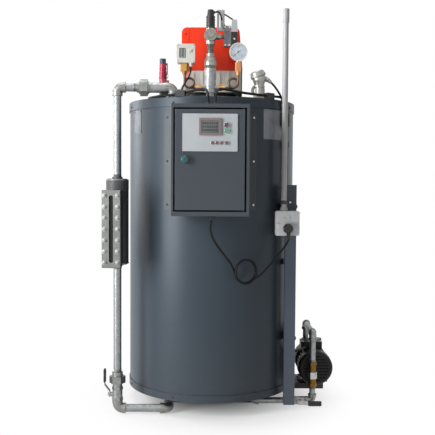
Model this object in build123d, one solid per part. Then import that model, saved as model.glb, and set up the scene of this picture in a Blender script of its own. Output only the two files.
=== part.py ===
from build123d import *
import os
from math import radians, sqrt, tan

# Vertical steam boiler, millimetres. X is to the right, Y away from the front, Z up.
# The origin is on the floor, on the axis of the jacket.

# Driving dimensions: the boiler body
jacket_radius = 300
jacket_foot = 55
lid_top = 1082
sheet = 3
plate = 5
lid_overlap = 3.5
lid_rim = 32
lid_edge_r = 3
lid_clearance = 0.5
skirt_height = 25

# Driving dimensions: the base and the pump bed under the jacket
base_width = 320
base_depth = 220
channel_flange = 40
channel_wall = 5

# Driving dimensions: the control box
box_width = 246
box_height = 348
box_depth = 150
box_centre_x = -4
box_floor = 692
box_front = -460
box_wall = 2.5
door_width = 217
door_height = 312
door_centre_x = -5
door_floor = 711
door_gap = 5
door_fold = 14

# Driving dimensions: pipes
steam_pipe_r = 13.45
steam_fitting_r = 17
steam_bead_r = 18
steam_elbow_reach = 28
feed_pipe_r = 10.65
feed_fitting_r = 13.5
feed_bead_r = 15
feed_elbow_reach = 24

# Driving dimensions: the water column on the left
column_x = -319
column_y = -240
column_r = 38
column_floor = 511
column_top = 814
steam_leg_z = 1115
steam_entry_x = -130
return_z = 20
return_x = -145
return_entry_y = -150
gauge_turn = 10

# Driving dimensions: the instruments over the lid
instrument_y = -200
riser_x = -6
manifold_z = 1121
switch_stem_x = -94
gauge_stem_x = 89
siphon_ring_r = 16
siphon_tube_r = 4

# Driving dimensions: the socket post and the pump on the right
post_x = (256, 294)
post_y = (-208, -183)
post_z = (22, 790)
post_wall = 2.5
pump_x = 384
pump_z = 122
pump_port_y = 65
delivery_x = 366
delivery_y = -135
delivery_z = 260
feed_z = 17
feed_entry_x = 150
feed_valve_x = 320

# Driving dimensions: leads
mains_lead_d = 7
lid_lead_d = 8.5
probe_lead_d = 7
thin_lead_d = 5

up, down = Vector(0, 0, 1), Vector(0, 0, -1)
right, left = Vector(1, 0, 0), Vector(-1, 0, 0)
back, front = Vector(0, 1, 0), Vector(0, -1, 0)


# Shapes that many pieces share


def slab(x, y, z):
    size = [high - low for low, high in (x, y, z)]
    middle = [(low + high) / 2 for low, high in (x, y, z)]
    return Pos(*middle) * Box(*size)


def grown(span, by):
    return (span[0] - by, span[1] + by)


def pipe_box(x, y, z, wall):
    return slab(x, y, z) - slab(grown(x, -wall), grown(y, -wall), (z[0], z[1] - wall))


def rod(start, end, radius):
    start, end = Vector(*start), Vector(*end)
    return Part() + Solid.make_cylinder(radius, (end - start).length, Plane(origin=start, z_dir=end - start))


def cone(start, end, start_radius, end_radius):
    start, end = Vector(*start), Vector(*end)
    run = Plane(origin=start, z_dir=end - start)
    return Part() + Solid.make_cone(start_radius, end_radius, (end - start).length, run)


def pipe(start, end, outer, inner):
    return rod(start, end, outer) - rod(start, end, inner)


def hexagon(start, end, across_flats):
    start, end = Vector(*start), Vector(*end)
    section = RegularPolygon(across_flats / 2, 6, major_radius=False)
    return extrude(Plane(origin=start, z_dir=end - start) * section, (end - start).length)


def bend(corner, first, second, bend_radius, tube_radius):
    centre = corner + (first + second) * bend_radius
    turn = Plane(origin=centre, x_dir=second * -1, z_dir=second.cross(first))
    return Part() + Solid.make_torus(bend_radius, tube_radius, turn, major_angle=90)


def elbow(corner, first, second, reach, body_radius, bead_radius):
    corner = Vector(*corner)
    bend_radius = reach * 0.68
    bead = reach - bend_radius
    shape = bend(corner, first, second, bend_radius, body_radius)
    for way in (first, second):
        shape += rod(corner + way * (reach - bead), corner + way * reach, bead_radius)
    return shape


def lead(points, diameter):
    points = [Vector(*point) for point in points]
    radii = []
    for before, corner, after in zip(points, points[1:], points[2:]):
        turn = (corner - before).get_angle(after - corner)
        shorter = min((corner - before).length, (after - corner).length)
        radii.append(0.45 * shorter / tan(radians(turn / 2)))
    path = FilletPolyline(*points, radius=radii)
    section = Plane(origin=path @ 0, z_dir=path % 0) * Circle(diameter / 2)
    tube = sweep(section, path)
    print("lead", round(path.length), "mm, tightest bend", round(min(radii)), "mm")
    return tube


# The body of the boiler


def base_frame():
    half_x, half_y = base_width / 2, base_depth / 2
    frame = slab((-half_x, half_x), (-half_y, half_y), (0, jacket_foot))
    inner_x, inner_y = half_x - channel_flange, half_y - channel_flange
    frame -= slab((-inner_x, inner_x), (-inner_y, inner_y), (0, jacket_foot))
    web_x, web_y = half_x - channel_wall, half_y - channel_wall
    frame -= slab((-web_x, web_x), (-web_y, web_y), (channel_wall, jacket_foot - channel_wall))
    return frame


def bottom_pan():
    pan = rod((0, 0, jacket_foot), (0, 0, jacket_foot + skirt_height), jacket_radius + sheet)
    return pan - rod((0, 0, jacket_foot + plate), (0, 0, jacket_foot + skirt_height), jacket_radius)


def jacket():
    return pipe((0, 0, jacket_foot + plate), (0, 0, lid_top - plate), jacket_radius, jacket_radius - sheet)


def lid():
    outer = jacket_radius + lid_overlap
    cap = rod((0, 0, lid_top - lid_rim), (0, 0, lid_top), outer)
    cap = fillet(cap.edges().group_by(Axis.Z)[-1], lid_edge_r)
    hollow = rod((0, 0, lid_top - lid_rim), (0, 0, lid_top - plate), jacket_radius + lid_clearance)
    return cap - hollow


flue_r = 60
flue_z = 880
flue_reach = 80
flue_bead = 12


def flue_collar():
    mouth = jacket_radius + flue_reach
    collar = rod((0, jacket_radius - 20, flue_z), (0, mouth, flue_z), flue_r + sheet)
    collar += rod((0, mouth - flue_bead, flue_z), (0, mouth, flue_z), flue_r + 2 * sheet)
    collar -= rod((0, jacket_radius + sheet, flue_z), (0, mouth, flue_z), flue_r)
    return collar - rod((0, 0, 0), (0, 0, lid_top), jacket_radius)


steam_outlet_y = 215
steam_outlet_r = 15.1
steam_socket_r = 21
steam_outlet_floor = lid_top + 10
steam_outlet_top = lid_top + 45


def steam_outlet():
    def at(z):
        return (0, steam_outlet_y, z)

    socket = rod(at(lid_top), at(steam_outlet_top), steam_socket_r)
    return socket - rod(at(steam_outlet_floor), at(steam_outlet_top), steam_outlet_r)


# The burner on the lid

burner_front = -105
burner_back = 105
burner_flange_top = 1118
burner_split = 1194
burner_top = 1345
burner_rib_x = (-66, -34, 26, 58, 88)
burner_rib = 4
burner_slant = 40
flange_x, flange_y = (-118, 112), (-98, 98)
flange_top = lid_top + 12
burner_neck_r = 88
side_plate_x, side_plate_y = (103, 108), (-80, 80)
hood_x = (-108, 108)
hood_top_x = (-108, 96)
hood_overhang = (4, 12)
hood_seam_x = (-82, -80)
hood_groove = 2
louvre_x = (58, 98)
louvre_pitch = 9
louvre_height = 4


def burner_flange():
    flange = slab(flange_x, flange_y, (lid_top, flange_top))
    flange = fillet(flange.edges().filter_by(Axis.Z), 20)
    neck = rod((0, 0, flange_top), (0, 0, burner_flange_top), burner_neck_r)
    side = slab(side_plate_x, side_plate_y, (flange_top, burner_split))
    return flange + neck + side


def burner_body():
    foot, top = burner_flange_top, burner_split
    left_end, right_end = flange_x[0], side_plate_x[0]
    outline = Polyline(
        (left_end, foot), (right_end, foot), (right_end, top), (left_end + burner_slant, top), close=True
    )
    face = Plane(origin=(0, burner_front, 0), x_dir=(1, 0, 0), z_dir=(0, -1, 0)) * make_face(outline)
    body = extrude(face, -(burner_back - burner_front))
    body = fillet(body.edges().filter_by(Axis.Y), 6)
    rib_z = (burner_flange_top + 8, burner_split - 8)
    for x in burner_rib_x:
        rib_x = grown((x, x), burner_rib * 0.6)
        body += slab(rib_x, (burner_front - burner_rib, burner_front), rib_z)
        body += slab(rib_x, (burner_back, burner_back + burner_rib), rib_z)
    return body


def burner_hood():
    foot, top = burner_split, burner_top
    outline = Polyline(
        (hood_x[0], foot), (hood_x[1], foot), (hood_top_x[1], top), (hood_top_x[0], top), close=True
    )
    face = make_face(outline)
    top_corners = face.vertices().group_by(Axis.Y)[-1].sort_by(Axis.X)
    face = fillet(top_corners[0], 20)
    face = fillet(face.vertices().sort_by(Axis.X)[-2:].sort_by(Axis.Y)[-1:], 18)
    hood_front, hood_back = burner_front - hood_overhang[0], burner_back + hood_overhang[1]
    front_plane = Plane(origin=(0, hood_front, 0), x_dir=(1, 0, 0), z_dir=(0, -1, 0))
    hood = extrude(front_plane * face, -(hood_back - hood_front))
    seam = slab(hood_seam_x, (hood_front, hood_back), (burner_split, burner_top))
    core_y = (hood_front + hood_groove, hood_back - hood_groove)
    hood -= seam - slab(hood_x, core_y, (burner_split, burner_top - hood_groove))
    for step in range(4):
        z = burner_split + 12 + louvre_pitch * step
        hood -= slab(louvre_x, (hood_front, hood_front + louvre_height), (z, z + louvre_height))
    return hood


# The control box on the front

box_x = (box_centre_x - box_width / 2, box_centre_x + box_width / 2)
box_z = (box_floor, box_floor + box_height)
box_back = box_front + box_depth
door_x = (door_centre_x - door_width / 2, door_centre_x + door_width / 2)
door_z = (door_floor, door_floor + door_height)
hinge_x = door_x[1] - 4.5
hinge_y = box_front + 4.5
hinge_pin_r = 1.5
hinge_tab = 3
hinge_tab_x = (-6, 14)
hinge_pin_depth = 4
hinge_ends = ((door_z[0], -1), (door_z[1], 1))
bracket_foot = 38
bracket_lap = 26
bracket_inset = 12


def control_box():
    shell = slab(box_x, (box_front, box_back), box_z)
    shell = fillet(shell.edges().filter_by(Axis.Z), 3)
    cavity_y = (box_front + box_wall, box_back - box_wall)
    shell -= slab(grown(box_x, -box_wall), cavity_y, grown(box_z, -box_wall))
    shell -= slab(grown(door_x, door_gap), (box_front, box_front + box_wall), grown(door_z, door_gap))
    for z, way in hinge_ends:
        edge = z + way * door_gap
        tab_z = sorted((edge, edge + way * hinge_tab))
        tab_x = (hinge_x + hinge_tab_x[0], hinge_x + hinge_tab_x[1])
        shell += slab(tab_x, (box_front + box_wall, hinge_y + 5), tab_z)
        pin_end = z - way * hinge_pin_depth
        shell += rod((hinge_x, hinge_y, edge), (hinge_x, hinge_y, pin_end), hinge_pin_r)
    return shell


def door():
    leaf = slab(door_x, (box_front, box_front + door_fold), door_z)
    leaf = fillet(leaf.edges().filter_by(Axis.Z), 1.5)
    leaf -= slab(grown(door_x, -2), (box_front + 2, box_front + door_fold), grown(door_z, -2))
    for z, way in hinge_ends:
        leaf -= rod((hinge_x, hinge_y, z), (hinge_x, hinge_y, z - way * 3), hinge_pin_r + 0.3)
    return leaf


def box_brackets():
    strips = []
    for side in (-1, 1):
        edge = box_centre_x + side * (box_width / 2 - 6)
        foot_x = sorted((edge, edge + side * bracket_foot))
        ring = Circle(jacket_radius + sheet) - Circle(jacket_radius)
        foot = ring & (Pos(sum(foot_x) / 2, -jacket_radius) * Rectangle(bracket_foot, jacket_radius))
        web_x = sorted((edge, edge + side * sheet))
        web = Pos(sum(web_x) / 2, box_back / 2) * Rectangle(sheet, -box_back) - Circle(jacket_radius)
        lap_x = sorted((edge, edge - side * bracket_lap))
        lap = Pos(sum(lap_x) / 2, box_back + sheet / 2) * Rectangle(bracket_lap, sheet)
        section = Pos(0, 0, box_floor + bracket_inset) * (foot + web + lap)
        strips.append(extrude(section, box_height - 2 * bracket_inset))
    return strips


plate_face = box_back - box_wall - 10
plate_margin = 18
pillar_r = 5
rail_depth = 7.5
rail_half, rail_neck, rail_hollow = 17.5, 13.5, 12
rail_z = (812, 944)
breaker = {"x": (-92, -56), "half_height": 42, "depth": 68, "nose": 23}
contactor = {"x": (-38, 7), "half_height": 38, "depth": 76, "nose": 20}
controller = {"x": (26, 98), "half_height": 45, "depth": 56, "nose": 23}
terminal = {"half_height": 22, "depth": 40, "nose": 9}
terminal_row_x = (-90, 60)
terminal_pitch = 10
terminal_gap = 0.6
device_step = 0.68


def rail_device(z, x, half_height, depth, nose):
    step = depth * device_step
    outline = Polyline(
        (0, -half_height), (step, -half_height), (step, -nose), (depth, -nose), (depth, nose), (step, nose),
        (step, half_height), (0, half_height), close=True,
    )
    seat = Plane(origin=(x[0], plate_face - rail_depth, z), x_dir=(0, -1, 0), z_dir=(1, 0, 0))
    return extrude(seat * make_face(outline), x[1] - x[0])


def mounting_plate():
    board = slab(grown(box_x, -plate_margin), (plate_face, plate_face + 2), grown(box_z, -plate_margin))
    for x in grown(box_x, -plate_margin - 14):
        for z in grown(box_z, -plate_margin - 14):
            board += rod((x, plate_face + 2, z), (x, box_back - box_wall, z), pillar_r)
    rail_x = grown(box_x, -plate_margin - 4)
    rail_front = plate_face - rail_depth
    for z in rail_z:
        board += slab(rail_x, (rail_front, plate_face), grown((z, z), rail_neck))
        board += slab(rail_x, (rail_front, rail_front + 1), grown((z, z), rail_half))
        board -= slab(rail_x, (rail_front, plate_face - 1), grown((z, z), rail_hollow))
    for device in (breaker, contactor, controller):
        board += rail_device(rail_z[1], **device)
    for x in range(*terminal_row_x, terminal_pitch):
        body_x = grown((x, x + terminal_pitch), -terminal_gap)
        board += rail_device(rail_z[0], body_x, **terminal)
    return board


panel_x = (-90.5, 80)
panel_z = (893, 1009)
panel_face = box_front - 3
screen_x = (-39, 29)
screen_z = (942, 995)
screen_rise = 5
bezel_width = 7
button_z = 919
button_x = (2.6, 16.5, 30.8, 46)
button_r, button_rise = 4.8, 5
lamps = ((45.4, 974), (46.6, 956))
lamp_r, lamp_rise = 7, 6
lock = (-83, 868)
lock_ring_r, lock_knob_r = 13, 11


def display_panel():
    sheet_face = slab(panel_x, (panel_face, box_front), panel_z)
    return fillet(sheet_face.edges().filter_by(Axis.Y), 3)


def display_screen():
    front_y = panel_face - screen_rise
    bezel = slab(screen_x, (front_y, panel_face), screen_z)
    bezel = fillet(bezel.edges().filter_by(Axis.Y), 2)
    recess_y = (front_y, panel_face - screen_rise / 2)
    return bezel - slab(grown(screen_x, -bezel_width), recess_y, grown(screen_z, -bezel_width))


def panel_buttons():
    def round_cap(x, z, rise, radius):
        return rod((x, panel_face, z), (x, panel_face - rise, z), radius)

    buttons = [round_cap(x, button_z, button_rise, button_r) for x in button_x]
    return buttons + [round_cap(x, z, lamp_rise, lamp_r) for x, z in lamps]


def door_lock():
    x, z = lock
    ring = rod((x, box_front, z), (x, box_front - 5, z), lock_ring_r)
    knob = rod((x, box_front - 5, z), (x, box_front - 17, z), lock_knob_r)
    return ring + fillet(knob.edges().group_by(Axis.Y)[0], 4)


gland_y = -385
lid_gland_y = -372
lid_gland_x = (-12, 12)
gland_drop = 16


def cable_glands():
    low = hexagon((0, gland_y, box_floor), (0, gland_y, box_floor - 7), 22)
    low += cone((0, gland_y, box_floor - 7), (0, gland_y, box_floor - gland_drop), 9.5, 6)
    glands = [low]
    for x in lid_gland_x:
        top = box_floor + box_height
        gland = hexagon((x, lid_gland_y, top), (x, lid_gland_y, top + 6), 19)
        gland += cone((x, lid_gland_y, top + 6), (x, lid_gland_y, top + 14), 8.5, 6)
        glands.append(gland)
    return glands


# The water column on the left

valve_span = (return_z + steam_elbow_reach, 95)
valve_z = 68
lever_hub_x = column_x - 25


def at_column(z):
    return (column_x, column_y, z)


gauge_z = (511, 770)
gauge_width = 65
block_front = 56
cover_front = 72
slot_width = 14
slot_length = 224


def gauge_frame(shape):
    return Pos(column_x, column_y, 0) * Rot(0, 0, -gauge_turn) * shape


def gauge_slot(depth_span):
    middle = (gauge_z[0] + gauge_z[1]) / 2
    plane = Plane(origin=(0, depth_span[0], middle), x_dir=(0, 0, 1), z_dir=(0, -1, 0))
    return extrude(plane * SlotOverall(slot_length, slot_width), depth_span[0] - depth_span[1])


def water_column():
    neck = steam_fitting_r + 1
    profile = [
        (0, column_floor), (neck, column_floor), (neck, column_floor + 6), (column_r - 5, column_floor + 6),
        (column_r, column_floor + 11), (column_r, column_top - 11), (column_r - 5, column_top - 6),
        (neck, column_top - 6), (neck, column_top), (0, column_top),
    ]
    outline = Plane.XZ * make_face(Polyline(*profile, close=True))
    chamber = Pos(column_x, column_y, 0) * revolve(outline, Axis.Z)
    half = gauge_width / 2 - 4
    return chamber + gauge_frame(slab((-half, half), (-block_front, 0), (gauge_z[0] + 12, gauge_z[1] - 4)))


def gauge_cover():
    half = gauge_width / 2
    cover = slab((-half, half), (-cover_front, -block_front), gauge_z)
    cover = chamfer(cover.faces().sort_by(Axis.Y)[0].edges(), 2)
    return gauge_frame(cover - gauge_slot((-block_front, -cover_front)))


def gauge_glass():
    return gauge_frame(gauge_slot((-block_front, -block_front - 9)))


def column_elbow(corner, first, second):
    return elbow(corner, first, second, steam_elbow_reach, steam_fitting_r, steam_bead_r)


def column_elbows():
    return [
        column_elbow(at_column(steam_leg_z), right, down),
        column_elbow((steam_entry_x, column_y, steam_leg_z), left, down),
        column_elbow(at_column(return_z), up, right),
        column_elbow((return_x, column_y, return_z), left, back),
        column_elbow((return_x, return_entry_y, return_z), front, up),
    ]


union_x = (-253, -206)
lower_ring_z = (132, 146)
lower_nut_z = (108, 132)


def column_pipes():
    reach = steam_elbow_reach
    drop_top = steam_leg_z - reach

    def level(x):
        return (x, column_y, steam_leg_z)

    def below(x):
        return (x, column_y, return_z)

    def returned(y, z):
        return (return_x, y, z)

    return [
        rod(level(column_x + reach), level(union_x[0]), steam_pipe_r),
        rod(level(union_x[1]), level(steam_entry_x - reach), steam_fitting_r),
        rod((steam_entry_x, column_y, lid_top), (steam_entry_x, column_y, drop_top), steam_bead_r),
        rod(at_column(column_top), at_column(drop_top), steam_pipe_r),
        rod(at_column(lower_ring_z[1]), at_column(column_floor), steam_pipe_r),
        rod(below(column_x + reach), below(return_x - reach), steam_pipe_r),
        rod(returned(column_y + reach, return_z), returned(return_entry_y - reach, return_z), steam_pipe_r),
        rod(returned(return_entry_y, return_z + reach), returned(return_entry_y, jacket_foot), steam_pipe_r),
    ]


def column_unions():
    def level(x):
        return (x, column_y, steam_leg_z)

    upper = rod(level(union_x[0]), level(union_x[1]), steam_fitting_r)
    upper += hexagon(level(union_x[0] + 11), level(union_x[1] - 10), 50)
    upper += rod(level(union_x[0] + 7), level(union_x[1] - 6), 21)
    lower = rod(at_column(lower_ring_z[0]), at_column(lower_ring_z[1]), steam_bead_r)
    lower += hexagon(at_column(lower_nut_z[0]), at_column(lower_nut_z[1]), 48)
    lower += rod(at_column(valve_span[1]), at_column(lower_nut_z[0]), 16)
    return [upper, lower]


def column_valve():
    body = hexagon(at_column(valve_span[0]), at_column(valve_span[0] + 10), 33)
    body += rod(at_column(valve_span[0] + 10), at_column(valve_span[1] - 10), 17)
    body += hexagon(at_column(valve_span[1] - 10), at_column(valve_span[1]), 33)
    boss_end = lever_hub_x + 1.5
    body += rod((column_x, column_y, valve_z), (boss_end, column_y, valve_z), 8)
    return body - rod((boss_end + 8, column_y, valve_z), (boss_end, column_y, valve_z), 4.3)


lever_thick = 3
lever_reach = 86
lever_offset = 17


def lever_blade(thick, length, offset):
    rise = 12
    outline = Polyline(
        (-9, 0), (rise, 0), (rise + 22, offset), (length, offset), (length, offset + thick),
        (rise + 21, offset + thick), (rise - 1, thick), (-9, thick), close=True,
    )
    blade = extrude(Plane.XZ * make_face(outline), 8, both=True)
    grip = slab((length - 44, length + 2), (-8.5, 8.5), (offset - 2, offset + thick + 2))
    grip = fillet(grip.edges(), 1.9)
    stem = rod((0, 0, -7), (0, 0, 0), 4)
    nut = hexagon((0, 0, thick), (0, 0, thick + 5), 11)
    return blade + grip + stem + nut


def column_valve_lever():
    place = Plane(origin=(lever_hub_x, column_y, valve_z), x_dir=(0, 0, 1), z_dir=(-1, 0, 0))
    return place.location * lever_blade(lever_thick, lever_reach, lever_offset)


safety_x = -170
safety_y = -180
safety_hex_z = (1112, 1128)
safety_bonnet_z = (1152, 1180)
safety_sleeve_z = (1184, 1208)
safety_cap_top = 1222
safety_outlet_z = 1140
safety_arm_z = (1168, 1206)
safety_arm = 17


def safety_valve():
    def at(z):
        return (safety_x, safety_y, z)

    hex_foot, hex_top = safety_hex_z
    bonnet_foot, bonnet_top = safety_bonnet_z
    sleeve_foot, sleeve_top = safety_sleeve_z
    body = rod(at(lid_top), at(hex_foot), 12) + hexagon(at(hex_foot), at(hex_top), 27)
    body += rod(at(hex_top), at(bonnet_foot), 13)
    body += rod(at(safety_outlet_z), (safety_x + 22, safety_y, safety_outlet_z), 9)
    body += cone(at(bonnet_foot), at(bonnet_top), 14, 12.5) + rod(at(bonnet_top), at(sleeve_foot), 11)
    body += cone(at(sleeve_foot), at(sleeve_top), 12.5, 11)
    cap = fillet(rod(at(sleeve_top), at(safety_cap_top), 11).edges().group_by(Axis.Z)[-1], 3)
    arm_foot, arm_top = safety_arm_z
    arm_y = grown((safety_y, safety_y), 3)
    arm = slab((safety_x, safety_x + safety_arm), arm_y, (arm_top - 6, arm_top))
    arm += slab((safety_x + safety_arm - 3.5, safety_x + safety_arm), arm_y, (arm_foot, arm_top))
    return body + cap + arm


# Instruments over the lid


def over_lid(x, z):
    return (x, instrument_y, z)


riser_top = 1186
riser_r = 20
riser_foot_r = 13
cross_r = 12


def manifold():
    riser = rod(over_lid(riser_x, lid_top), over_lid(riser_x, manifold_z), riser_foot_r)
    riser += rod(over_lid(riser_x, manifold_z - 17), over_lid(riser_x, riser_top), riser_r)
    cross_x = grown((riser_x, riser_x), cock_reach[0])
    return riser + rod(over_lid(cross_x[0], manifold_z), over_lid(cross_x[1], manifold_z), cross_r)


stem_y = instrument_y - 7
siphon_top = 1164
cock_reach = (27, 39, 52)
switch_x = (-120, -58)
switch_z = (1202, 1265)
switch_depth = (22, 23)
window_depth = 2
switch_window_x = (-111.5, -89)
switch_window_z = (1218, 1251)
switch_gland = (-72, stem_y - 9)
gauge_r = 31
gauge_centre_z = 1240
gauge_neck_z = gauge_centre_z - gauge_r - 2


def brass_fittings():
    fittings = []
    for side in (-1, 1):
        inner, middle, outer = (over_lid(riser_x + x * side, manifold_z) for x in cock_reach)
        handle_x = (inner[0] + middle[0]) / 2
        cock = hexagon(inner, middle, 19) + rod(middle, outer, 7.5)
        cock += rod(over_lid(handle_x, manifold_z), (handle_x, instrument_y - 18, manifold_z), 5)
        fittings.append(cock)
    for x, across, top in ((switch_stem_x, 25, switch_z[0]), (gauge_stem_x, 18, gauge_neck_z)):
        nut_foot = siphon_top + 11
        fitting = cone((x, stem_y, siphon_top), (x, stem_y, nut_foot), 6, across * 0.42)
        fittings.append(fitting + hexagon((x, stem_y, nut_foot), (x, stem_y, top), across))
    return fittings


def siphon_pipes():
    pipes = []
    ring_z = manifold_z + siphon_ring_r
    ring_y = (instrument_y + stem_y) / 2
    for side, stem_x in ((-1, switch_stem_x), (1, gauge_stem_x)):
        ring_x = stem_x - side * siphon_ring_r
        ring_place = Plane(origin=(ring_x, ring_y, ring_z), z_dir=(0, 1, 0))
        pigtail = Part() + Solid.make_torus(siphon_ring_r, siphon_tube_r, ring_place)
        cock_end = riser_x + side * cock_reach[2]
        pigtail += rod(over_lid(cock_end, manifold_z), over_lid(ring_x, manifold_z), siphon_tube_r)
        pigtail += rod((stem_x, stem_y, ring_z), (stem_x, stem_y, siphon_top), siphon_tube_r)
        pipes.append(pigtail)
    return pipes


def pressure_switch():
    case_front, case_back = stem_y - switch_depth[0], stem_y + switch_depth[1]
    case = slab(switch_x, (case_front, case_back), switch_z)
    case = fillet(case.edges().filter_by(Axis.Y), 4)
    case -= slab(switch_window_x, (case_front, case_front + window_depth), switch_window_z)
    x, y = switch_gland
    return case + cone((x, y, switch_z[0] - 12), (x, y, switch_z[0]), 4.5, 7)


def pressure_gauge():
    def along(y):
        return (gauge_stem_x, stem_y + y, gauge_centre_z)

    case = rod(along(-16), along(12), gauge_r - 2) + rod(along(-16), along(-9), gauge_r)
    case -= rod(along(-16), along(-10), gauge_r - 3)
    return case + rod((gauge_stem_x, stem_y, gauge_neck_z), (gauge_stem_x, stem_y, gauge_neck_z + 8), 6)


sensor_tee_z = 1298
sensor_tee_r = 21
sensor_tee_half = 24
nipple_foot = 1236
nipple_r = 10.5
cap_foot = 1322
cap_shoulder = 1364
cap_top = 1385
transmitter_y = -170
branch_slope = 0.56


def at_branch(x):
    return (x, instrument_y + (x - riser_x) * branch_slope, sensor_tee_z)


def sensor_riser():
    reducer = Polyline(
        (0, riser_top), (16, riser_top), (21, riser_top + 10), (21, riser_top + 24), (14, nipple_foot - 8),
        (14, nipple_foot), (0, nipple_foot), close=True,
    )
    lower = Pos(riser_x, instrument_y, 0) * revolve(Plane.XZ * make_face(reducer), Axis.Z)
    nipple = rod(over_lid(riser_x, nipple_foot), over_lid(riser_x, sensor_tee_z), nipple_r)
    tee_front, tee_back = grown((instrument_y, instrument_y), sensor_tee_half)
    tee = rod((riser_x, tee_front, sensor_tee_z), (riser_x, tee_back, sensor_tee_z), sensor_tee_r - 3)
    tee += rod((riser_x, tee_front, sensor_tee_z), (riser_x, tee_front + 14, sensor_tee_z), sensor_tee_r)
    tee += rod((riser_x, tee_back - 14, sensor_tee_z), (riser_x, tee_back, sensor_tee_z), sensor_tee_r)
    tee += hexagon((riser_x, tee_front - 6, sensor_tee_z), (riser_x, tee_front, sensor_tee_z), 24)
    tee += rod(over_lid(riser_x, sensor_tee_z - 30), over_lid(riser_x, cap_foot), 15)
    tee += rod(at_branch(riser_x), at_branch(26), 11)
    return lower + nipple + tee


def sensor_cap():
    cap = rod(over_lid(riser_x, cap_foot), over_lid(riser_x, cap_shoulder), 13.5)
    for z in range(cap_foot, cap_shoulder, 9):
        cap += rod(over_lid(riser_x, z), over_lid(riser_x, z + 5), 15.5)
    cap += cone(over_lid(riser_x, cap_shoulder), over_lid(riser_x, cap_top), 12.5, 10)
    return cap + rod(over_lid(riser_x, cap_top - 8), over_lid(riser_x + 15, cap_top - 8), 5)


block_x, block_z = (40, 64), (1266, 1336)
body_z = (1263, 1315)
head_x, head_top = (65, 88), 1357
strip_x, strip_z = (16, 42), (1320, 1392)
transmitter_half = 13
relief_r = (6, 3.4)
relief_low = Vector(42, transmitter_y - 6, 1332)
relief_high = Vector(33, transmitter_y - 13, 1353)


def transmitter():
    around = (transmitter_y, transmitter_y)
    link = rod(at_branch(26), at_branch(48), 6)
    case_y = grown(around, transmitter_half)
    block = slab(block_x, case_y, block_z)
    block -= slab(grown(block_x, -6), (case_y[0], case_y[0] + 4), (block_z[0] + 8, block_z[1] - 20))
    body = slab((block_x[1], head_x[1]), case_y, body_z)
    body = fillet(body.edges().filter_by(Axis.Z), 4)
    head_centre = sum(head_x) / 2
    head = loft([
        Pos(head_centre, transmitter_y, body_z[1]) * Rectangle(head_x[1] - head_x[0], 30),
        Pos(head_centre, transmitter_y, head_top) * Rectangle(18, 24),
    ])
    strip_y = (transmitter_y - 2, transmitter_y + 1)
    strip = slab(strip_x, strip_y, strip_z)
    strip -= slab((strip_x[0] + 8, strip_x[0] + 12), strip_y, (strip_z[0] + 10, strip_z[1] - 16))
    return link + block + body + head + strip + cone(relief_low, relief_high, *relief_r)


probe_x = 162
probe_lean = 20
probe_nut_top = 1100
probe_ring_z = (1124, 1130)
probe_ball_z = 1152
probe_ball_r = 23
probe_cover_r = 26
probe_gland_start = Vector(probe_x + 20, instrument_y, 1157)
probe_gland_end = Vector(probe_x + 40, instrument_y, 1141)


def level_probe():
    def at(z):
        return (probe_x, instrument_y, z)

    ring_foot, ring_top = probe_ring_z
    probe = hexagon(at(lid_top), at(probe_nut_top), 36) + rod(at(probe_nut_top), at(ring_top + 10), 13)
    probe += rod(at(ring_foot), at(ring_top), 19)
    probe += cone(at(ring_top), at(probe_ball_z - 2), 16, probe_ball_r)
    probe += Pos(*at(probe_ball_z)) * Sphere(probe_ball_r)
    lid_place = Pos(*at(probe_ball_z)) * Rot(0, -probe_lean, 0)
    cover = Cylinder(probe_cover_r, 9, align=(Align.CENTER, Align.CENTER, Align.MIN))
    crown = Cylinder(probe_cover_r - 1.5, 16, align=(Align.CENTER, Align.CENTER, Align.MIN))
    crown = fillet(crown.edges().group_by(Axis.Z)[-1], 8)
    probe += lid_place * Pos(0, 0, 7) * cover + lid_place * Pos(0, 0, 12) * crown
    boss_end = probe_gland_start + (probe_gland_end - probe_gland_start) * 0.35
    return probe + rod(at(probe_gland_start.Z), boss_end, 9) + cone(boss_end, probe_gland_end, 8, 5.5)


eye_places = ((163, -120), (-165, 120))
eye_ring_r = 19
eye_bar_r = 5.5
eye_centre = lid_top + 40
eye_shank_top = lid_top + 21


def lifting_eyes():
    eyes = []
    for x, y in eye_places:
        ring_place = Plane(origin=(x, y, eye_centre), z_dir=(0, 1, 0))
        eye = Part() + Solid.make_torus(eye_ring_r, eye_bar_r, ring_place)
        eye += rod((x, y, lid_top), (x, y, lid_top + 6), 15)
        eye += rod((x, y, lid_top + 6), (x, y, eye_shank_top), 9)
        eyes.append(eye)
    return eyes


# The socket post and the feed pump on the right


def socket_post():
    return pipe_box(post_x, post_y, post_z, post_wall)


socket_x = (219, 301)
socket_y = (post_y[0] - 35, post_y[0])
socket_z = (617, 701)
pin_slot_x, pin_slot_z = (251, 269), (676, 684)


def socket_box():
    box = fillet(slab(socket_x, socket_y, socket_z).edges().filter_by(Axis.Y), 5)
    for x in pin_slot_x:
        box -= slab((x - 1, x + 1), (socket_y[0], socket_y[0] + 8), pin_slot_z)
    return box


conduit_at = (249, post_y[0] - 14)
conduit_r = 10
conduit_bore_r = 8
conduit_top = 1385
coupling = 45
conduit_clip_z = (724, 736)
stay_x, stay_z, stay_height = (268, 290), (240, 700), 30


def conduit():
    x, y = conduit_at
    run = rod((x, y, socket_z[1]), (x, y, conduit_top), conduit_r)
    run += rod((x, y, socket_z[1]), (x, y, socket_z[1] + 12), conduit_r + 3)
    run += rod((x, y, conduit_top - coupling), (x, y, conduit_top), conduit_r + 2)
    return run - rod((x, y, conduit_top - coupling + 5), (x, y, conduit_top), conduit_bore_r)


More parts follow.
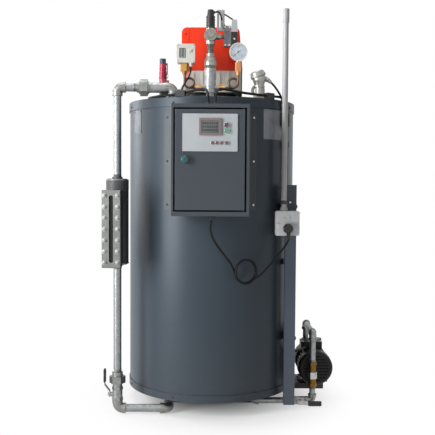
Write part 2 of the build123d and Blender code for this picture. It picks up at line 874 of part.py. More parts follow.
def post_brackets():
    body = rod((0, 0, 0), (0, 0, lid_top), jacket_radius)
    stays = [slab(stay_x, (post_y[1], -60), (z, z + stay_height)) - body for z in stay_z]
    x, y = conduit_at
    low, high = ((x, y, z) for z in conduit_clip_z)
    clip = rod(low, high, conduit_r + 2.5)
    clip += slab((x + 4, x + 30), (post_y[0] - 3, post_y[0]), (low[2], high[2]))
    return stays + [clip - rod(low, high, conduit_r)]


plug_at = (261, 642)
plug_r, plug_rise = 16.5, 25
plug_relief = Vector(264, socket_y[0] - 13, 606)


def plug():
    x, z = plug_at
    body = rod((x, socket_y[0], z), (x, socket_y[0] - plug_rise, z), plug_r)
    body = fillet(body.edges().group_by(Axis.Y)[0], 6)
    relief = cone((x + 1, socket_y[0] - 13, z - 10), plug_relief, 8, 4.6)
    return body + relief


bed_x = (base_width / 2, 420)
bed_y = (-40, 90)
bed_z = (33, 53)
bed_wall = 5


def pump_bed():
    bed = slab(bed_x, bed_y, bed_z)
    hollow_z = (bed_z[0], bed_z[1] - bed_wall)
    return bed - slab(grown(bed_x, -bed_wall), grown(bed_y, -bed_wall), hollow_z)


motor_y = (-42, 40)
cowl_y = (-95, -42)
motor_r = 46
fin_r = 54
cowl_r = 63
fin_pitch = 12
grille_pitch, grille_slot = 11, 4
terminal_x_span = (338, 416)
terminal_z = (177, 206)
terminal_gland = (350, 191)


def pump_axis(y):
    return (pump_x, y, pump_z)


def pump_motor():
    body = rod(pump_axis(motor_y[0]), pump_axis(motor_y[1]), motor_r)
    for turn in range(0, 360, fin_pitch):
        fin = slab((motor_r - 2, fin_r), motor_y, (-1.25, 1.25))
        body += Pos(pump_x, 0, pump_z) * Rot(0, turn, 0) * fin
    foot = slab((pump_x - 54, pump_x + 54), (-20, 36), (bed_z[1], bed_z[1] + 10))
    saddle = slab((pump_x - 36, pump_x + 36), (-14, 30), (bed_z[1] + 10, pump_z))
    pad = slab(grown(terminal_x_span, -8), (-26, 24), (pump_z, terminal_z[0]))
    return body + foot + (saddle + pad - rod(pump_axis(-200), pump_axis(200), motor_r - 2))


def fan_cowl():
    cowl = rod(pump_axis(cowl_y[0]), pump_axis(cowl_y[1]), cowl_r)
    cowl = fillet(cowl.edges().group_by(Axis.Y)[0], 12)
    for step in range(-4, 5):
        offset = grille_pitch * step
        slot_x = grown((pump_x, pump_x), sqrt((cowl_r - 16) ** 2 - offset**2))
        slot_z = grown((pump_z + offset, pump_z + offset), grille_slot / 2)
        cowl -= slab(slot_x, (cowl_y[0], cowl_y[0] + 5), slot_z)
    return cowl


def terminal_box():
    box = fillet(slab(terminal_x_span, (-30, 28), terminal_z).edges().filter_by(Axis.Z), 4)
    x, z = terminal_gland
    return box + hexagon((x, -30, z), (x, -38, z), 17)


suction_x = 2 * pump_x - delivery_x + 10
port_top = 200
head_back = 98
head_r = 60
port_half = 14
port_bore_r = 9.3


def pump_head():
    head = rod(pump_axis(motor_y[1]), pump_axis(head_back), head_r)
    port_y = grown((pump_port_y, pump_port_y), port_half)
    for x in (delivery_x, suction_x):
        head += slab(grown((x, x), port_half), port_y, (pump_z + 20, port_top - 18))
        head += rod((x, pump_port_y, port_top - 18), (x, pump_port_y, port_top), port_half + 1)
    bore_foot = (suction_x, pump_port_y, port_top - 24)
    return head - rod(bore_foot, (suction_x, pump_port_y, port_top), port_bore_r)


def feed_elbows():
    shape = (feed_elbow_reach, feed_fitting_r, feed_bead_r)
    return [
        elbow((delivery_x, pump_port_y, delivery_z), down, front, *shape),
        elbow((delivery_x, delivery_y, delivery_z), back, down, *shape),
        elbow((delivery_x, delivery_y, feed_z), up, left, *shape),
        elbow(at_feed(feed_entry_x), right, up, *shape),
    ]


check_z = (68, 157)
feed_valve_half = 24


def at_feed(x):
    return (x, delivery_y, feed_z)


def feed_pipes():
    def riser_at(z):
        return (delivery_x, pump_port_y, z)

    def drop_at(z):
        return (delivery_x, delivery_y, z)

    reach = feed_elbow_reach
    ends = [
        (riser_at(port_top), riser_at(delivery_z - reach)),
        ((delivery_x, pump_port_y - reach, delivery_z), (delivery_x, delivery_y + reach, delivery_z)),
        (drop_at(feed_z + reach), drop_at(check_z[0])),
        (drop_at(check_z[1]), drop_at(delivery_z - reach)),
        (at_feed(feed_entry_x + reach), at_feed(feed_valve_x - feed_valve_half)),
        ((feed_entry_x, delivery_y, feed_z + reach), (feed_entry_x, delivery_y, jacket_foot)),
    ]
    return [rod(start, end, feed_pipe_r) for start, end in ends]


def check_valve():
    def at(z):
        return (delivery_x, delivery_y, z)

    low, high = check_z
    body = hexagon(at(low), at(low + 12), 27) + rod(at(low + 12), at(low + 29), 13)
    body += hexagon(at(low + 29), at(low + 53), 29) + rod(at(low + 53), at(high - 14), 13)
    return body + hexagon(at(high - 14), at(high), 27)


feed_hub_y = delivery_y - 27


def feed_valve():
    low, high = feed_valve_x - feed_valve_half, delivery_x - feed_elbow_reach
    body = hexagon(at_feed(low), at_feed(low + 10), 27) + rod(at_feed(low + 10), at_feed(high - 5), 14.5)
    body += hexagon(at_feed(high - 7), at_feed(high), 27)
    stem_end = feed_hub_y + 1.5
    body += rod((feed_valve_x, delivery_y, feed_z), (feed_valve_x, stem_end, feed_z), 8)
    return body - rod((feed_valve_x, stem_end + 8, feed_z), (feed_valve_x, stem_end, feed_z), 4.3)


def feed_valve_lever():
    place = Plane(origin=(feed_valve_x, feed_hub_y, feed_z), x_dir=(1, 0, 0), z_dir=(0, -1, 0))
    return place.location * lever_blade(lever_thick, 72, 12)


# Leads: the mains lead hangs in a plane from the box to the plug, with its spare length coiled

hang_slope = (plug_relief.Y - gland_y) / plug_relief.X
coil_centre_x, coil_centre_z = 115.6, 503.6
coil_r, coil_bundle_r = 37, 7.5


def hanging(x, z):
    return (x, gland_y + hang_slope * x, z)


upper_lead_route = [
    hanging(0, box_floor - gland_drop), hanging(-5, 650), hanging(4, 618), hanging(25, 585), hanging(49, 556),
    hanging(70, 529), hanging(82, 503),
]
lower_lead_route = [
    hanging(137, 477), hanging(160, 489), hanging(186, 511), hanging(213, 539), hanging(238, 568),
    hanging(255, 588), tuple(plug_relief),
]
burner_lead_route = [
    (-12, lid_gland_y, 1054), (-12, -364, 1082), (-20, -335, 1101), (-46, -301, 1103), (-84, -280, 1096),
    (-128, -269, 1089), (-168, -245, 1087), (-203, -207, 1087), (-222, -160, 1088), (-214, -110, 1094),
    (-186, -72, 1108), (-150, -54, 1124), (-105, -50, 1132),
]
pump_lead_route = [
    (12, lid_gland_y, 1054), (12, -364, 1082), (20, -335, 1101), (46, -303, 1104), (84, -283, 1098),
    (130, -262, 1094), (174, -236, 1093), (208, -207, 1093), (238, -183, 1093), (256, -173, 1083),
    (262, -169, 1062), (262.5, -170, 640), (262, -169.5, 234), (266, -164, 210), (281, -146, 197),
    (304, -122, 192.5), (329, -95, 191.5), (345, -65, 191), (terminal_gland[0], -34, terminal_gland[1]),
]
splice_x, splice_y, splice_z = (241, 269), (-188, -140), (992, 1036)
probe_lead_route = [
    tuple(probe_gland_end), (213, -199.5, 1130), (225, -198.5, 1114), (236, -196, 1097), (243.5, -192, 1078),
    (247, -187, 1058), (248, -181, splice_z[1] - 2),
]
switch_lead_route = [
    (*switch_gland, switch_z[0] - 12), (-73, stem_y - 11, 1172), (-79, stem_y - 17, 1153),
    (-90, stem_y - 28, 1134), (-98, stem_y - 41, 1118), (-101, stem_y - 55, 1104), (-102, stem_y - 63, 1094),
]
cap_lead_route = [
    (riser_x + 15, instrument_y, cap_top - 8), (16, -199.5, 1380), (23, -196, 1379), (27.5, -192, 1372),
    (30.5, -187, 1363), tuple(relief_high),
]
head_lead_route = [
    (riser_x + 4, instrument_y + 9, cap_top - 12), (2, -180, 1383), (16, -167, 1385), (32, -163, 1383),
    (47, -164, 1376), (60, -167, 1367), (70, -169, 1360), (76.5, -170, 1352),
]
clamps = ((195, -218, 40.2), (-104, -275, -14))
clamp_size = (32, 20, 20)
clip_heights = (930, 520)
clip_x, clip_y, clip_half = (252, 268), (-178, -120), 9


def lead_clips(clipped):
    seat_z = lid_top + clamp_size[2] / 2
    blocks = [Pos(x, y, seat_z) * Rot(0, 0, turn) * Box(*clamp_size) for x, y, turn in clamps]
    body = rod((0, 0, 0), (0, 0, lid_top), jacket_radius)
    clips = [slab(clip_x, clip_y, grown((z, z), clip_half)) - body for z in clip_heights]
    splice = slab(splice_x, splice_y, splice_z) - body
    pieces = blocks + clips + [splice]
    for cable in clipped:
        pieces = [piece - cable for piece in pieces]
    return pieces


def mains_lead_coil():
    along = Vector(1, hang_slope, 0).normalized()
    place = Plane(origin=hanging(coil_centre_x, coil_centre_z), x_dir=along, z_dir=along.cross(up))
    return Part() + Solid.make_torus(coil_r, coil_bundle_r, place)


glands = cable_glands()
coil = mains_lead_coil()
pump_lead = lead(pump_lead_route, lid_lead_d) - glands - terminal_box()
burner_lead = lead(burner_lead_route, lid_lead_d) - burner_body() - glands
clips = lead_clips([pump_lead, burner_lead])
sensor_leads = [
    lead(switch_lead_route, thin_lead_d) - pressure_switch() - clips,
    lead(cap_lead_route, thin_lead_d) - sensor_cap() - transmitter(),
    lead(head_lead_route, thin_lead_d) - sensor_cap() - transmitter(),
]
nodes = {
    "base_frame": base_frame(),
    "bottom_pan": bottom_pan(),
    "jacket": jacket(),
    "lid": lid(),
    "flue_collar": flue_collar(),
    "steam_outlet": steam_outlet(),
    "burner_flange": burner_flange(),
    "burner_body": burner_body(),
    "burner_hood": burner_hood(),
    "control_box": control_box(),
    "box_brackets": box_brackets(),
    "mounting_plate": mounting_plate(),
    "cable_glands": glands,
    "door": door(),
    "display_panel": display_panel(),
    "display_screen": display_screen(),
    "panel_buttons": panel_buttons(),
    "door_lock": door_lock(),
    "water_column": water_column(),
    "gauge_cover": gauge_cover(),
    "gauge_glass": gauge_glass(),
    "column_elbows": column_elbows(),
    "column_pipes": column_pipes(),
    "column_unions": column_unions(),
    "column_valve": column_valve(),
    "column_valve_lever": column_valve_lever(),
    "safety_valve": safety_valve(),
    "manifold": manifold(),
    "brass_fittings": brass_fittings(),
    "siphon_pipes": siphon_pipes(),
    "pressure_switch": pressure_switch(),
    "pressure_gauge": pressure_gauge(),
    "sensor_riser": sensor_riser(),
    "sensor_cap": sensor_cap(),
    "transmitter": transmitter(),
    "level_probe": level_probe(),
    "lifting_eyes": lifting_eyes(),
    "socket_post": socket_post(),
    "post_brackets": post_brackets(),
    "socket_box": socket_box(),
    "conduit": conduit(),
    "plug": plug(),
    "pump_bed": pump_bed(),
    "pump_motor": pump_motor(),
    "fan_cowl": fan_cowl(),
    "terminal_box": terminal_box(),
    "pump_head": pump_head(),
    "feed_elbows": feed_elbows(),
    "feed_pipes": feed_pipes(),
    "check_valve": check_valve(),
    "feed_valve": feed_valve(),
    "feed_valve_lever": feed_valve_lever(),
    "mains_lead_coil": coil,
    "mains_lead_upper": lead(upper_lead_route, mains_lead_d) - coil - glands,
    "mains_lead_lower": lead(lower_lead_route, mains_lead_d) - coil - plug(),
    "burner_lead": burner_lead,
    "pump_lead": pump_lead,
    "lead_clips": clips,
    "probe_lead": lead(probe_lead_route, probe_lead_d) - level_probe() - clips,
    "sensor_lead": sensor_leads,
}

os.makedirs("parts", exist_ok=True)
for name, shape in nodes.items():
    pieces = shape if isinstance(shape, list) else [shape]
    solids = [solid for piece in pieces for solid in piece.solids()]
    export_step(solids[0] if len(solids) == 1 else Compound(children=solids), f"parts/{name}.step")
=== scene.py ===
import bpy, bmesh, math
from mathutils import Matrix, Vector


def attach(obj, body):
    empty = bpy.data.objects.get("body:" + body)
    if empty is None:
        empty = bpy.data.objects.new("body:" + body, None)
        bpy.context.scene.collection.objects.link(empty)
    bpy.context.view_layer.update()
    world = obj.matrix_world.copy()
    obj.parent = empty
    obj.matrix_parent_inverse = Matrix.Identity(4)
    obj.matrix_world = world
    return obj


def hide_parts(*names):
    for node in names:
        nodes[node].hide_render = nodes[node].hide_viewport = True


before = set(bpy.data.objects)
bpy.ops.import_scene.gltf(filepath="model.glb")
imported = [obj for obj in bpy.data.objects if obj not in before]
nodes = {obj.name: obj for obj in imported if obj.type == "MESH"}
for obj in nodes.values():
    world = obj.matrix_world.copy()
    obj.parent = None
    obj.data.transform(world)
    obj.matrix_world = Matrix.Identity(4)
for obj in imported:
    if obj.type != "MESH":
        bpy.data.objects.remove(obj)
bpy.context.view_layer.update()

scene = bpy.context.scene
moved = Matrix.Translation
print("frame loaded with", len(nodes), "nodes")


def spun(angle, axis="Z"):  # a turn in degrees
    return Matrix.Rotation(math.radians(angle), 4, axis)


# shader wiring

class Wire:  # a shader socket that takes part in Python sums
    def __init__(self, tree, plug=None):
        self.tree, self.plug = tree, plug

    def make(self, kind, settings=None, inputs=None, out=0):  # any node that isn't a sum
        node = self.tree.nodes.new("ShaderNode" + kind)
        for name, value in (settings or {}).items():
            setattr(node, name, value)
        for key, value in (inputs or {}).items():
            if isinstance(value, Wire):
                self.tree.links.new(value.plug, node.inputs[key])
            else:
                node.inputs[key].default_value = value
        return Wire(self.tree, node.outputs[out]) if len(node.outputs) else None

    def sums(self, operation, first, second=0.0):
        return self.make("Math", {"operation": operation}, {0: first, 1: second})

    def __add__(self, other):
        return self.sums("ADD", self, other)

    def __radd__(self, other):
        return self.sums("ADD", other, self)

    def __sub__(self, other):
        return self.sums("SUBTRACT", self, other)

    def __rsub__(self, other):
        return self.sums("SUBTRACT", other, self)

    def __mul__(self, other):
        return self.sums("MULTIPLY", self, other)

    def __rmul__(self, other):
        return self.sums("MULTIPLY", other, self)

    def __gt__(self, other):
        return self.sums("GREATER_THAN", self, other)

    def __lt__(self, other):
        return self.sums("LESS_THAN", self, other)


screenCurve = {"knee": 0.04045, "slope": 12.92, "offset": 0.055, "power": 2.4}
mixSockets = {"share": 0, "first": 6, "second": 7, "result": 2}  # where a Mix node keeps its colour sockets


def shade(code, dim=1.0):  # a screen colour as the linear numbers that a shader takes
    knee, slope, offset, power = screenCurve.values()
    parts = [int(code[i:i + 2], 16) / 255 for i in (0, 2, 4)]
    linear = [p / slope if p <= knee else ((p + offset) / (1 + offset)) ** power for p in parts]
    return (*(dim * p for p in linear), 1.0)


def startFinish(name):
    finish = bpy.data.materials.new(name)
    finish.use_nodes = True
    finish.node_tree.nodes.clear()
    start = Wire(finish.node_tree)
    return finish, start, start.make("TexCoord", None, None, "Object")


def closeFinish(finish, start, sockets):
    shader = start.make("BsdfPrincipled", None, sockets)
    start.make("OutputMaterial", None, {"Surface": shader})
    return finish


def clouds(start, place, texture):  # texture is (scale, detail, roughness)
    scale, detail, roughness = texture
    inputs = {"Vector": place, "Scale": scale, "Detail": detail, "Roughness": roughness}
    return start.make("TexNoise", None, inputs)


def blended(start, share, first, second):
    inputs = {mixSockets["share"]: share, mixSockets["first"]: first, mixSockets["second"]: second}
    return start.make("Mix", {"data_type": "RGBA"}, inputs, mixSockets["result"])


def bumps(start, height, strength, distance):
    return start.make("Bump", None, {"Strength": strength, "Distance": distance, "Height": height})


def swayed(level, *sways):  # textures push a level up and down about their own middle
    for amount, texture in sways:
        level = level + amount * (texture - 0.5)
    return level


# finishes: each kind has its usual texture, and a finish names only what differs from it

paintTexture = {
    "blotch": (5.0, 4.0, 0.55), "peel": (520.0, 2.0, 0.5), "speck": (90.0, 3.0, 0.7),
    "blotchSway": 0.16, "speckSway": 0.10, "bump": (0.06, 0.0006),
    "specular": 0.5, "tint": (1.0, 1.0, 1.0, 1.0), "dust": 0.16, "dustTop": 0.32,
    "dustDull": 0.3, "dustColour": "8C867B",
}
zincTexture = {
    "spangle": 150.0, "patch": (22.0, 4.0, 0.6), "pits": (650.0, 3.0, 0.6), "cellShare": 0.36,
    "cellSway": 0.14, "patchSway": 0.22, "patchHeight": 0.5, "pit": 0.10, "depth": 0.0006,
}
castTexture = {
    "grain": (300.0, 5.0, 0.65), "patch": (14.0, 3.0, 0.6), "grainShare": 0.5, "patchSway": 0.2,
    "grainSway": 0.15, "coarse": 0.25, "depth": 0.001, "metal": 1.0,
}
turnedTexture = {
    "lines": (40.0, 40.0, 1500.0), "line": (1.0, 3.0, 0.6), "tarnish": (45.0, 4.0, 0.6),
    "tarnishSway": 0.18, "lineSway": 0.12, "cut": 0.08, "depth": 0.0005,
}
plasticTexture = {
    "grain": (900.0, 2.0, 0.5), "wipe": (25.0, 3.0, 0.6), "wipeSway": 0.16, "grainSway": 0.06,
    "coarse": 0.06, "depth": 0.0005, "specular": 0.5, "coat": 0.0,
}
zonedTexture = {
    "wear": (60.0, 4.0, 0.6), "fine": (500.0, 2.0, 0.5), "worn": 0.72, "wearSway": 0.18,
    "bump": (0.06, 0.0005),
}
glassTexture = {
    "smear": (60.0, 3.0, 0.6), "gloss": 0.04, "smearDull": 0.06, "ior": 1.47, "bump": (0.02, 0.0005),
}


def paintFinish(name, colour, second, rough, **changes):  # sprayed enamel: blotches, orange peel, low dust
    spec = {**paintTexture, **changes}
    finish, start, place = startFinish(name)
    blotch, peel, speck = [clouds(start, place, spec[part]) for part in ("blotch", "peel", "speck")]
    base = blended(start, blotch, shade(colour), shade(second))
    height = start.make("SeparateXYZ", None, {0: place}, "Z")
    reach = {"Value": height, "From Min": 0.0, "From Max": spec["dustTop"], "To Min": 1.0, "To Max": 0.0}
    dust = start.make("MapRange", {"clamp": True}, reach) * speck * spec["dust"]
    rough = swayed(rough, (spec["blotchSway"], blotch), (spec["speckSway"], speck)) + spec["dustDull"] * dust
    return closeFinish(finish, start, {
        "Base Color": blended(start, dust, base, shade(spec["dustColour"])), "Roughness": rough,
        "Specular IOR Level": spec["specular"], "Specular Tint": spec["tint"],
        "Normal": bumps(start, peel, *spec["bump"])})


def zincFinish(name, colour, second, rough, **changes):  # hot-dip zinc: spangles, dull patches, fine pits
    spec = {**zincTexture, **changes}
    finish, start, place = startFinish(name)
    spangle = start.make("TexVoronoi", None, {"Vector": place, "Scale": spec["spangle"]}, "Color")
    cell = start.make("SeparateColor", None, {0: spangle})
    patch, pits = [clouds(start, place, spec[part]) for part in ("patch", "pits")]
    share = spec["cellShare"] * cell + (1 - spec["cellShare"]) * patch
    uneven = pits + spec["patchHeight"] * patch
    return closeFinish(finish, start, {
        "Base Color": blended(start, share, shade(colour), shade(second)), "Metallic": 1.0,
        "Roughness": swayed(rough, (spec["cellSway"], cell), (spec["patchSway"], patch)),
        "Normal": bumps(start, uneven, spec["pit"], spec["depth"])})


def castFinish(name, colour, second, rough, **changes):  # cast metal: coarse grain, darker hollows
    spec = {**castTexture, **changes}
    finish, start, place = startFinish(name)
    grain, patch = [clouds(start, place, spec[part]) for part in ("grain", "patch")]
    share = spec["grainShare"] * grain + (1 - spec["grainShare"]) * patch
    return closeFinish(finish, start, {
        "Base Color": blended(start, share, shade(colour), shade(second)), "Metallic": spec["metal"],
        "Roughness": swayed(rough, (spec["patchSway"], patch), (spec["grainSway"], grain)),
        "Normal": bumps(start, grain, spec["coarse"], spec["depth"])})


def turnedFinish(name, colour, second, rough, **changes):  # machined metal: tool lines, light tarnish
    spec = {**turnedTexture, **changes}
    finish, start, place = startFinish(name)
    stretched = start.make("Mapping", None, {"Vector": place, "Scale": spec["lines"]})
    lines = clouds(start, stretched, spec["line"])
    tarnish = clouds(start, place, spec["tarnish"])
    return closeFinish(finish, start, {
        "Base Color": blended(start, tarnish, shade(colour), shade(second)), "Metallic": 1.0,
        "Roughness": swayed(rough, (spec["tarnishSway"], tarnish), (spec["lineSway"], lines)),
        "Normal": bumps(start, lines, spec["cut"], spec["depth"])})


def plasticFinish(name, colour, second, rough, **changes):  # moulded plastic: eroded grain, handled sheen
    spec = {**plasticTexture, **changes}
    finish, start, place = startFinish(name)
    grain, wipe = [clouds(start, place, spec[part]) for part in ("grain", "wipe")]
    return closeFinish(finish, start, {
        "Base Color": blended(start, wipe, shade(colour), shade(second)),
        "Roughness": swayed(rough, (spec["wipeSway"], wipe), (spec["grainSway"], grain)),
        "Specular IOR Level": spec["specular"], "Coat Weight": spec["coat"],
        "Normal": bumps(start, grain, spec["coarse"], spec["depth"])})


def zonedFinish(name, base, *zones):  # one node in several paints or metals: each zone is a box on it
    spec = zonedTexture
    finish, start, place = startFinish(name)
    axes = start.make("SeparateXYZ", None, {0: place}).plug.node.outputs
    along = {axis: Wire(start.tree, axes[axis]) for axis in "XYZ"}
    wear, fine = [clouds(start, place, spec[part]) for part in ("wear", "fine")]

    def worn(code):
        return blended(start, wear, shade(code), shade(code, spec["worn"]))

    code, metal, rough = base
    colour = worn(code)
    for limits, code, zoneMetal, zoneRough in zones:
        inside = 1.0
        for axis, (low, high) in limits.items():
            inside = inside * (along[axis] > low) * (along[axis] < high)
        colour = blended(start, inside, colour, worn(code))
        metal = metal + inside * (zoneMetal - metal)
        rough = rough + inside * (zoneRough - rough)
    return closeFinish(finish, start, {
        "Base Color": colour, "Metallic": metal, "Roughness": swayed(rough, (spec["wearSway"], wear)),
        "Normal": bumps(start, fine, *spec["bump"])})


def glassFinish(name, colour, clear):
    spec = glassTexture
    finish, start, place = startFinish(name)
    smear = clouds(start, place, spec["smear"])
    return closeFinish(finish, start, {
        "Base Color": shade(colour), "Roughness": spec["gloss"] + spec["smearDull"] * smear,
        "Transmission Weight": clear, "IOR": spec["ior"], "Normal": bumps(start, smear, *spec["bump"])})


finishes = {
    "jacket": paintFinish("jacketPaint", "39424B", "323A42", 0.38, specular=0.28, dust=0.1,
                          tint=(0.86, 0.94, 1.0, 1.0)),
    "box": paintFinish("boxPaint", "444B50", "3D4349", 0.44, specular=0.30),
    "post": paintFinish("postPaint", "4A5260", "404855", 0.46, specular=0.35),
    "base": paintFinish("basePaint", "1D1E20", "16171A", 0.5),
    "hood": paintFinish("hoodPaint", "F84223", "EB371B", 0.42, dust=0.0, specular=0.3),
    "pump": paintFinish("pumpPaint", "0F1012", "090A0B", 0.45, dust=0.08, specular=0.25),
    "blackMetal": paintFinish("flangePaint", "161617", "0F0F10", 0.5, dust=0.0),
    "zinc": zincFinish("galvanisedPipe", "A7A9A8", "797B7E", 0.48),
    "malleable": zincFinish("malleableFitting", "A3A3A0", "6C6D6E", 0.44, pit=0.25),
    "riser": zincFinish("riserFitting", "B4B3AE", "66675F", 0.42, pit=0.3),
    "cover": castFinish("coverSteel", "787978", "575957", 0.52, coarse=0.12),
    "casting": castFinish("aluminiumCasting", "F7F3EA", "DFDBD3", 0.5, metal=0.08),
    "probe": castFinish("probeCasting", "B9B8B4", "85847F", 0.4, metal=0.8, coarse=0.15),
    "darkCast": castFinish("pumpCasting", "2B2C2E", "1D1E20", 0.55, metal=0.3),
    "siphon": turnedFinish("siphonTube", "7A6252", "4A3B33", 0.36, lines=(60, 60, 60)),
    "chrome": turnedFinish("gaugeCase", "D4D6D8", "B4B6B9", 0.18, cut=0.02),
    "bolt": turnedFinish("zincBolt", "CFCFCC", "A5A6A6", 0.3, lines=(300, 300, 300)),
    "coverBolt": turnedFinish("coverBolt", "959694", "797A78", 0.56, lines=(300, 300, 300)),
    # the bare plates' grey is darkened: partly painted shade, partly the grey of their print, which is left
    # out
    "plate": turnedFinish("barePlate", "7F8285", "6B6E71", 0.58, lines=(900, 900, 12), cut=0.05),
    "panel": plasticFinish("panelFilm", "B4B9BC", "AAB0B4", 0.42),
    "screen": plasticFinish("screenBezel", "8A7477", "755F63", 0.36, coat=0.1),
    "display": plasticFinish("displayGlass", "68706F", "414849", 0.16, coat=0.6),
    "segment": plasticFinish("displaySegment", "2A3032", "1E2426", 0.3),
    "teal": plasticFinish("lockTeal", "0F5A60", "093F44", 0.24, coat=0.35),
    "switchGrey": plasticFinish("switchCase", "D6D5CE", "C7C6BE", 0.45),
    "window": plasticFinish("switchScale", "66706A", "434B47", 0.3),
    "socket": plasticFinish("socketPlastic", "DCDDE0", "CED0D3", 0.4),
    "conduit": plasticFinish("conduitPlastic", "C2C2C4", "B2B3B6", 0.36),
    "black": plasticFinish("blackPlastic", "151516", "0D0D0E", 0.42),
    "gasket": plasticFinish("doorGasket", "1F2022", "141516", 0.8, coarse=0.3),
    "white": plasticFinish("whitePlastic", "E4E5E4", "D6D8D8", 0.35),
    "dialPale": plasticFinish("dialPale", "D6DFE8", "C9D3DE", 0.45),
    "needleBlue": plasticFinish("needleBlue", "27405E", "1B2D45", 0.3),
    "cable": plasticFinish("cableSheath", "0D0D0E", "070708", 0.55, grain=(500.0, 2.0, 0.5), specular=0.22),
    "sightGlass": glassFinish("sightGlass", "07090A", 0.06),
    "clearGlass": glassFinish("clearGlass", "FFFFFF", 1.0),
    # the column's band from Z 0.524 to 0.7655 is painted shade: dark grey where the cover block and the
    # column beside it lie in shade
    "column": zonedFinish("columnSteel", ("5F6062", 0.6, 0.55), ({"Z": (0.524, 0.7655)}, "3A3B3D", 0.1, 0.5)),
    "safety": zonedFinish(
        "safetyValve", ("6A6B66", 0.9, 0.5), ({"Z": (1.112, 1.128)}, "B08D4C", 1.0, 0.32),
        ({"Z": (1.128, 1.152)}, "A8585E", 0.6, 0.38), ({"Z": (1.152, 1.203)}, "B01238", 0.0, 0.35),
        ({"Z": (1.203, 1.23)}, "2A3350", 0.0, 0.4)),
    "check": zonedFinish("checkValve", ("7C5C2B", 1.0, 0.42), ({"Z": (0.097, 0.121)}, "C0C0BE", 1.0, 0.32)),
    # the collar's blind end, Y 0.28 to 0.3035, is dark: partly soot, partly painted shade for the depth of an
    # open flue
    "flue": zonedFinish("flueSheet", ("A9ABAA", 1.0, 0.42), ({"Y": (0.28, 0.3035)}, "16140F", 0.0, 0.9)),
    "clips": zonedFinish("leadClips", ("151516", 0.0, 0.45),
                         ({"X": (0.24, 0.28), "Z": (0.45, 0.98)}, "30373F", 0.0, 0.42)),
    "columnLever": zonedFinish("columnLever", ("B9B9B7", 1.0, 0.35),
                               ({"Z": (0.1085, 0.17)}, "17171A", 0.0, 0.42)),
    "feedLever": zonedFinish("feedLever", ("B9B9B7", 1.0, 0.35),
                             ({"X": (0.3465, 0.41)}, "17171A", 0.0, 0.42)),
    "brass": zonedFinish("brassFittings", ("CFA361", 1.0, 0.34), ({"X": (0.07, 0.12)}, "C98F62", 1.0, 0.32)),
    "caps": zonedFinish(
        "panelCaps", ("6E4A50", 0.0, 0.3), ({"X": (0.038, 0.056), "Z": (0.965, 0.983)}, "5E4347", 0.0, 0.3),
        ({"X": (0.038, 0.056), "Z": (0.947, 0.9645)}, "5BA585", 0.0, 0.3)),
    "transmitter": zonedFinish(
        "transmitterCase", ("7E8082", 0.7, 0.42),
        ({"X": (0.0642, 0.09), "Z": (1.26, 1.3151)}, "1B1B1D", 0.0, 0.42),
        ({"X": (0.0642, 0.09), "Z": (1.3151, 1.36)}, "B9BBBD", 0.9, 0.38),
        ({"X": (0.014, 0.0402), "Z": (1.318, 1.394)}, "B6B8B6", 0.6, 0.4),
        ({"Y": (-0.1745, -0.1725), "X": (0.045, 0.059), "Z": (1.273, 1.317)}, "2A2B2D", 0.0, 0.5)),
    "switchgear": zonedFinish(
        "switchgear", ("C2C4C6", 1.0, 0.36), ({"Y": (-0.42, -0.3302)}, "CDCBC0", 0.0, 0.46),
        ({"Y": (-0.42, -0.3302), "X": (-0.0385, 0.0075), "Z": (0.88, 1.0)}, "2B2C2E", 0.0, 0.46),
        ({"Y": (-0.42, -0.3302), "X": (0.025, 0.099), "Z": (0.88, 1.0)}, "A9ADB0", 0.0, 0.46)),
}
nodeFinish = {
    "jacket": "jacket lid bottom_pan",
    "box": "control_box door box_brackets",
    "post": "socket_post post_brackets",
    "base": "base_frame pump_bed",
    "hood": "burner_hood",
    "pump": "pump_motor fan_cowl terminal_box",
    "blackMetal": "burner_flange",
    "zinc": "column_pipes feed_pipes manifold steam_outlet column_valve feed_valve lifting_eyes",
    "malleable": "column_elbows column_unions feed_elbows",
    "riser": "sensor_riser",
    "flue": "flue_collar",
    "switchgear": "mounting_plate",
    "column": "water_column",
    "cover": "gauge_cover",
    "casting": "burner_body",
    "probe": "level_probe",
    "darkCast": "pump_head",
    "brass": "brass_fittings",
    "siphon": "siphon_pipes",
    "chrome": "pressure_gauge",
    "panel": "display_panel",
    "screen": "display_screen",
    "teal": "door_lock",
    "caps": "panel_buttons",
    "switchGrey": "pressure_switch",
    "socket": "socket_box",
    "conduit": "conduit",
    "black": "cable_glands sensor_cap plug",
    "clips": "lead_clips",
    "cable": "burner_lead pump_lead probe_lead sensor_lead",
    "transmitter": "transmitter",
    "sightGlass": "gauge_glass",
    "safety": "safety_valve",
    "check": "check_valve",
    "columnLever": "column_valve_lever",
    "feedLever": "feed_valve_lever",
}
for finishName, members in nodeFinish.items():
    for member in members.split():
        nodes[member].data.materials.clear()
        nodes[member].data.materials.append(finishes[finishName])
print("finishes on", sum(len(members.split()) for members in nodeFinish.values()), "nodes")


# camera, lamps and backdrop

cameraSpec = {
    "place": (0.0, -2.73, 0.798), "lens": 60.6, "sensor": 36, "clip": (0.05, 60), "down": 2.76, "right": 0.49,
    "roll": 0.35,
}
lampSpec = {
    "key": {"place": (-2.3, -1.75, 1.25), "aim": (0.0, 0.0, 0.85), "size": (1.0, 2.2), "power": 102.0},
    "rim": {"place": (-2.1, 1.0, 1.5), "aim": (-0.2, 0.0, 0.9), "size": (1.0, 1.8), "power": 24.0},
    "fill": {"place": (0.6, -3.6, 1.7), "aim": (0.0, -0.2, 0.8), "size": (2.0, 1.6), "power": 2.5},
    "top": {"place": (-0.5, 0.0, 3.3), "aim": (0.0, 0.0, 1.0), "size": (1.8, 1.8), "power": 36.0},
}
backdropSpec = {
    "floor": "F4F4F3", "second": "EFEFEE", "grain": (40.0, 3.0, 0.5), "size": 16.0, "soft": 0.15,
    "shadowReach": (0.05, 0.56),
}


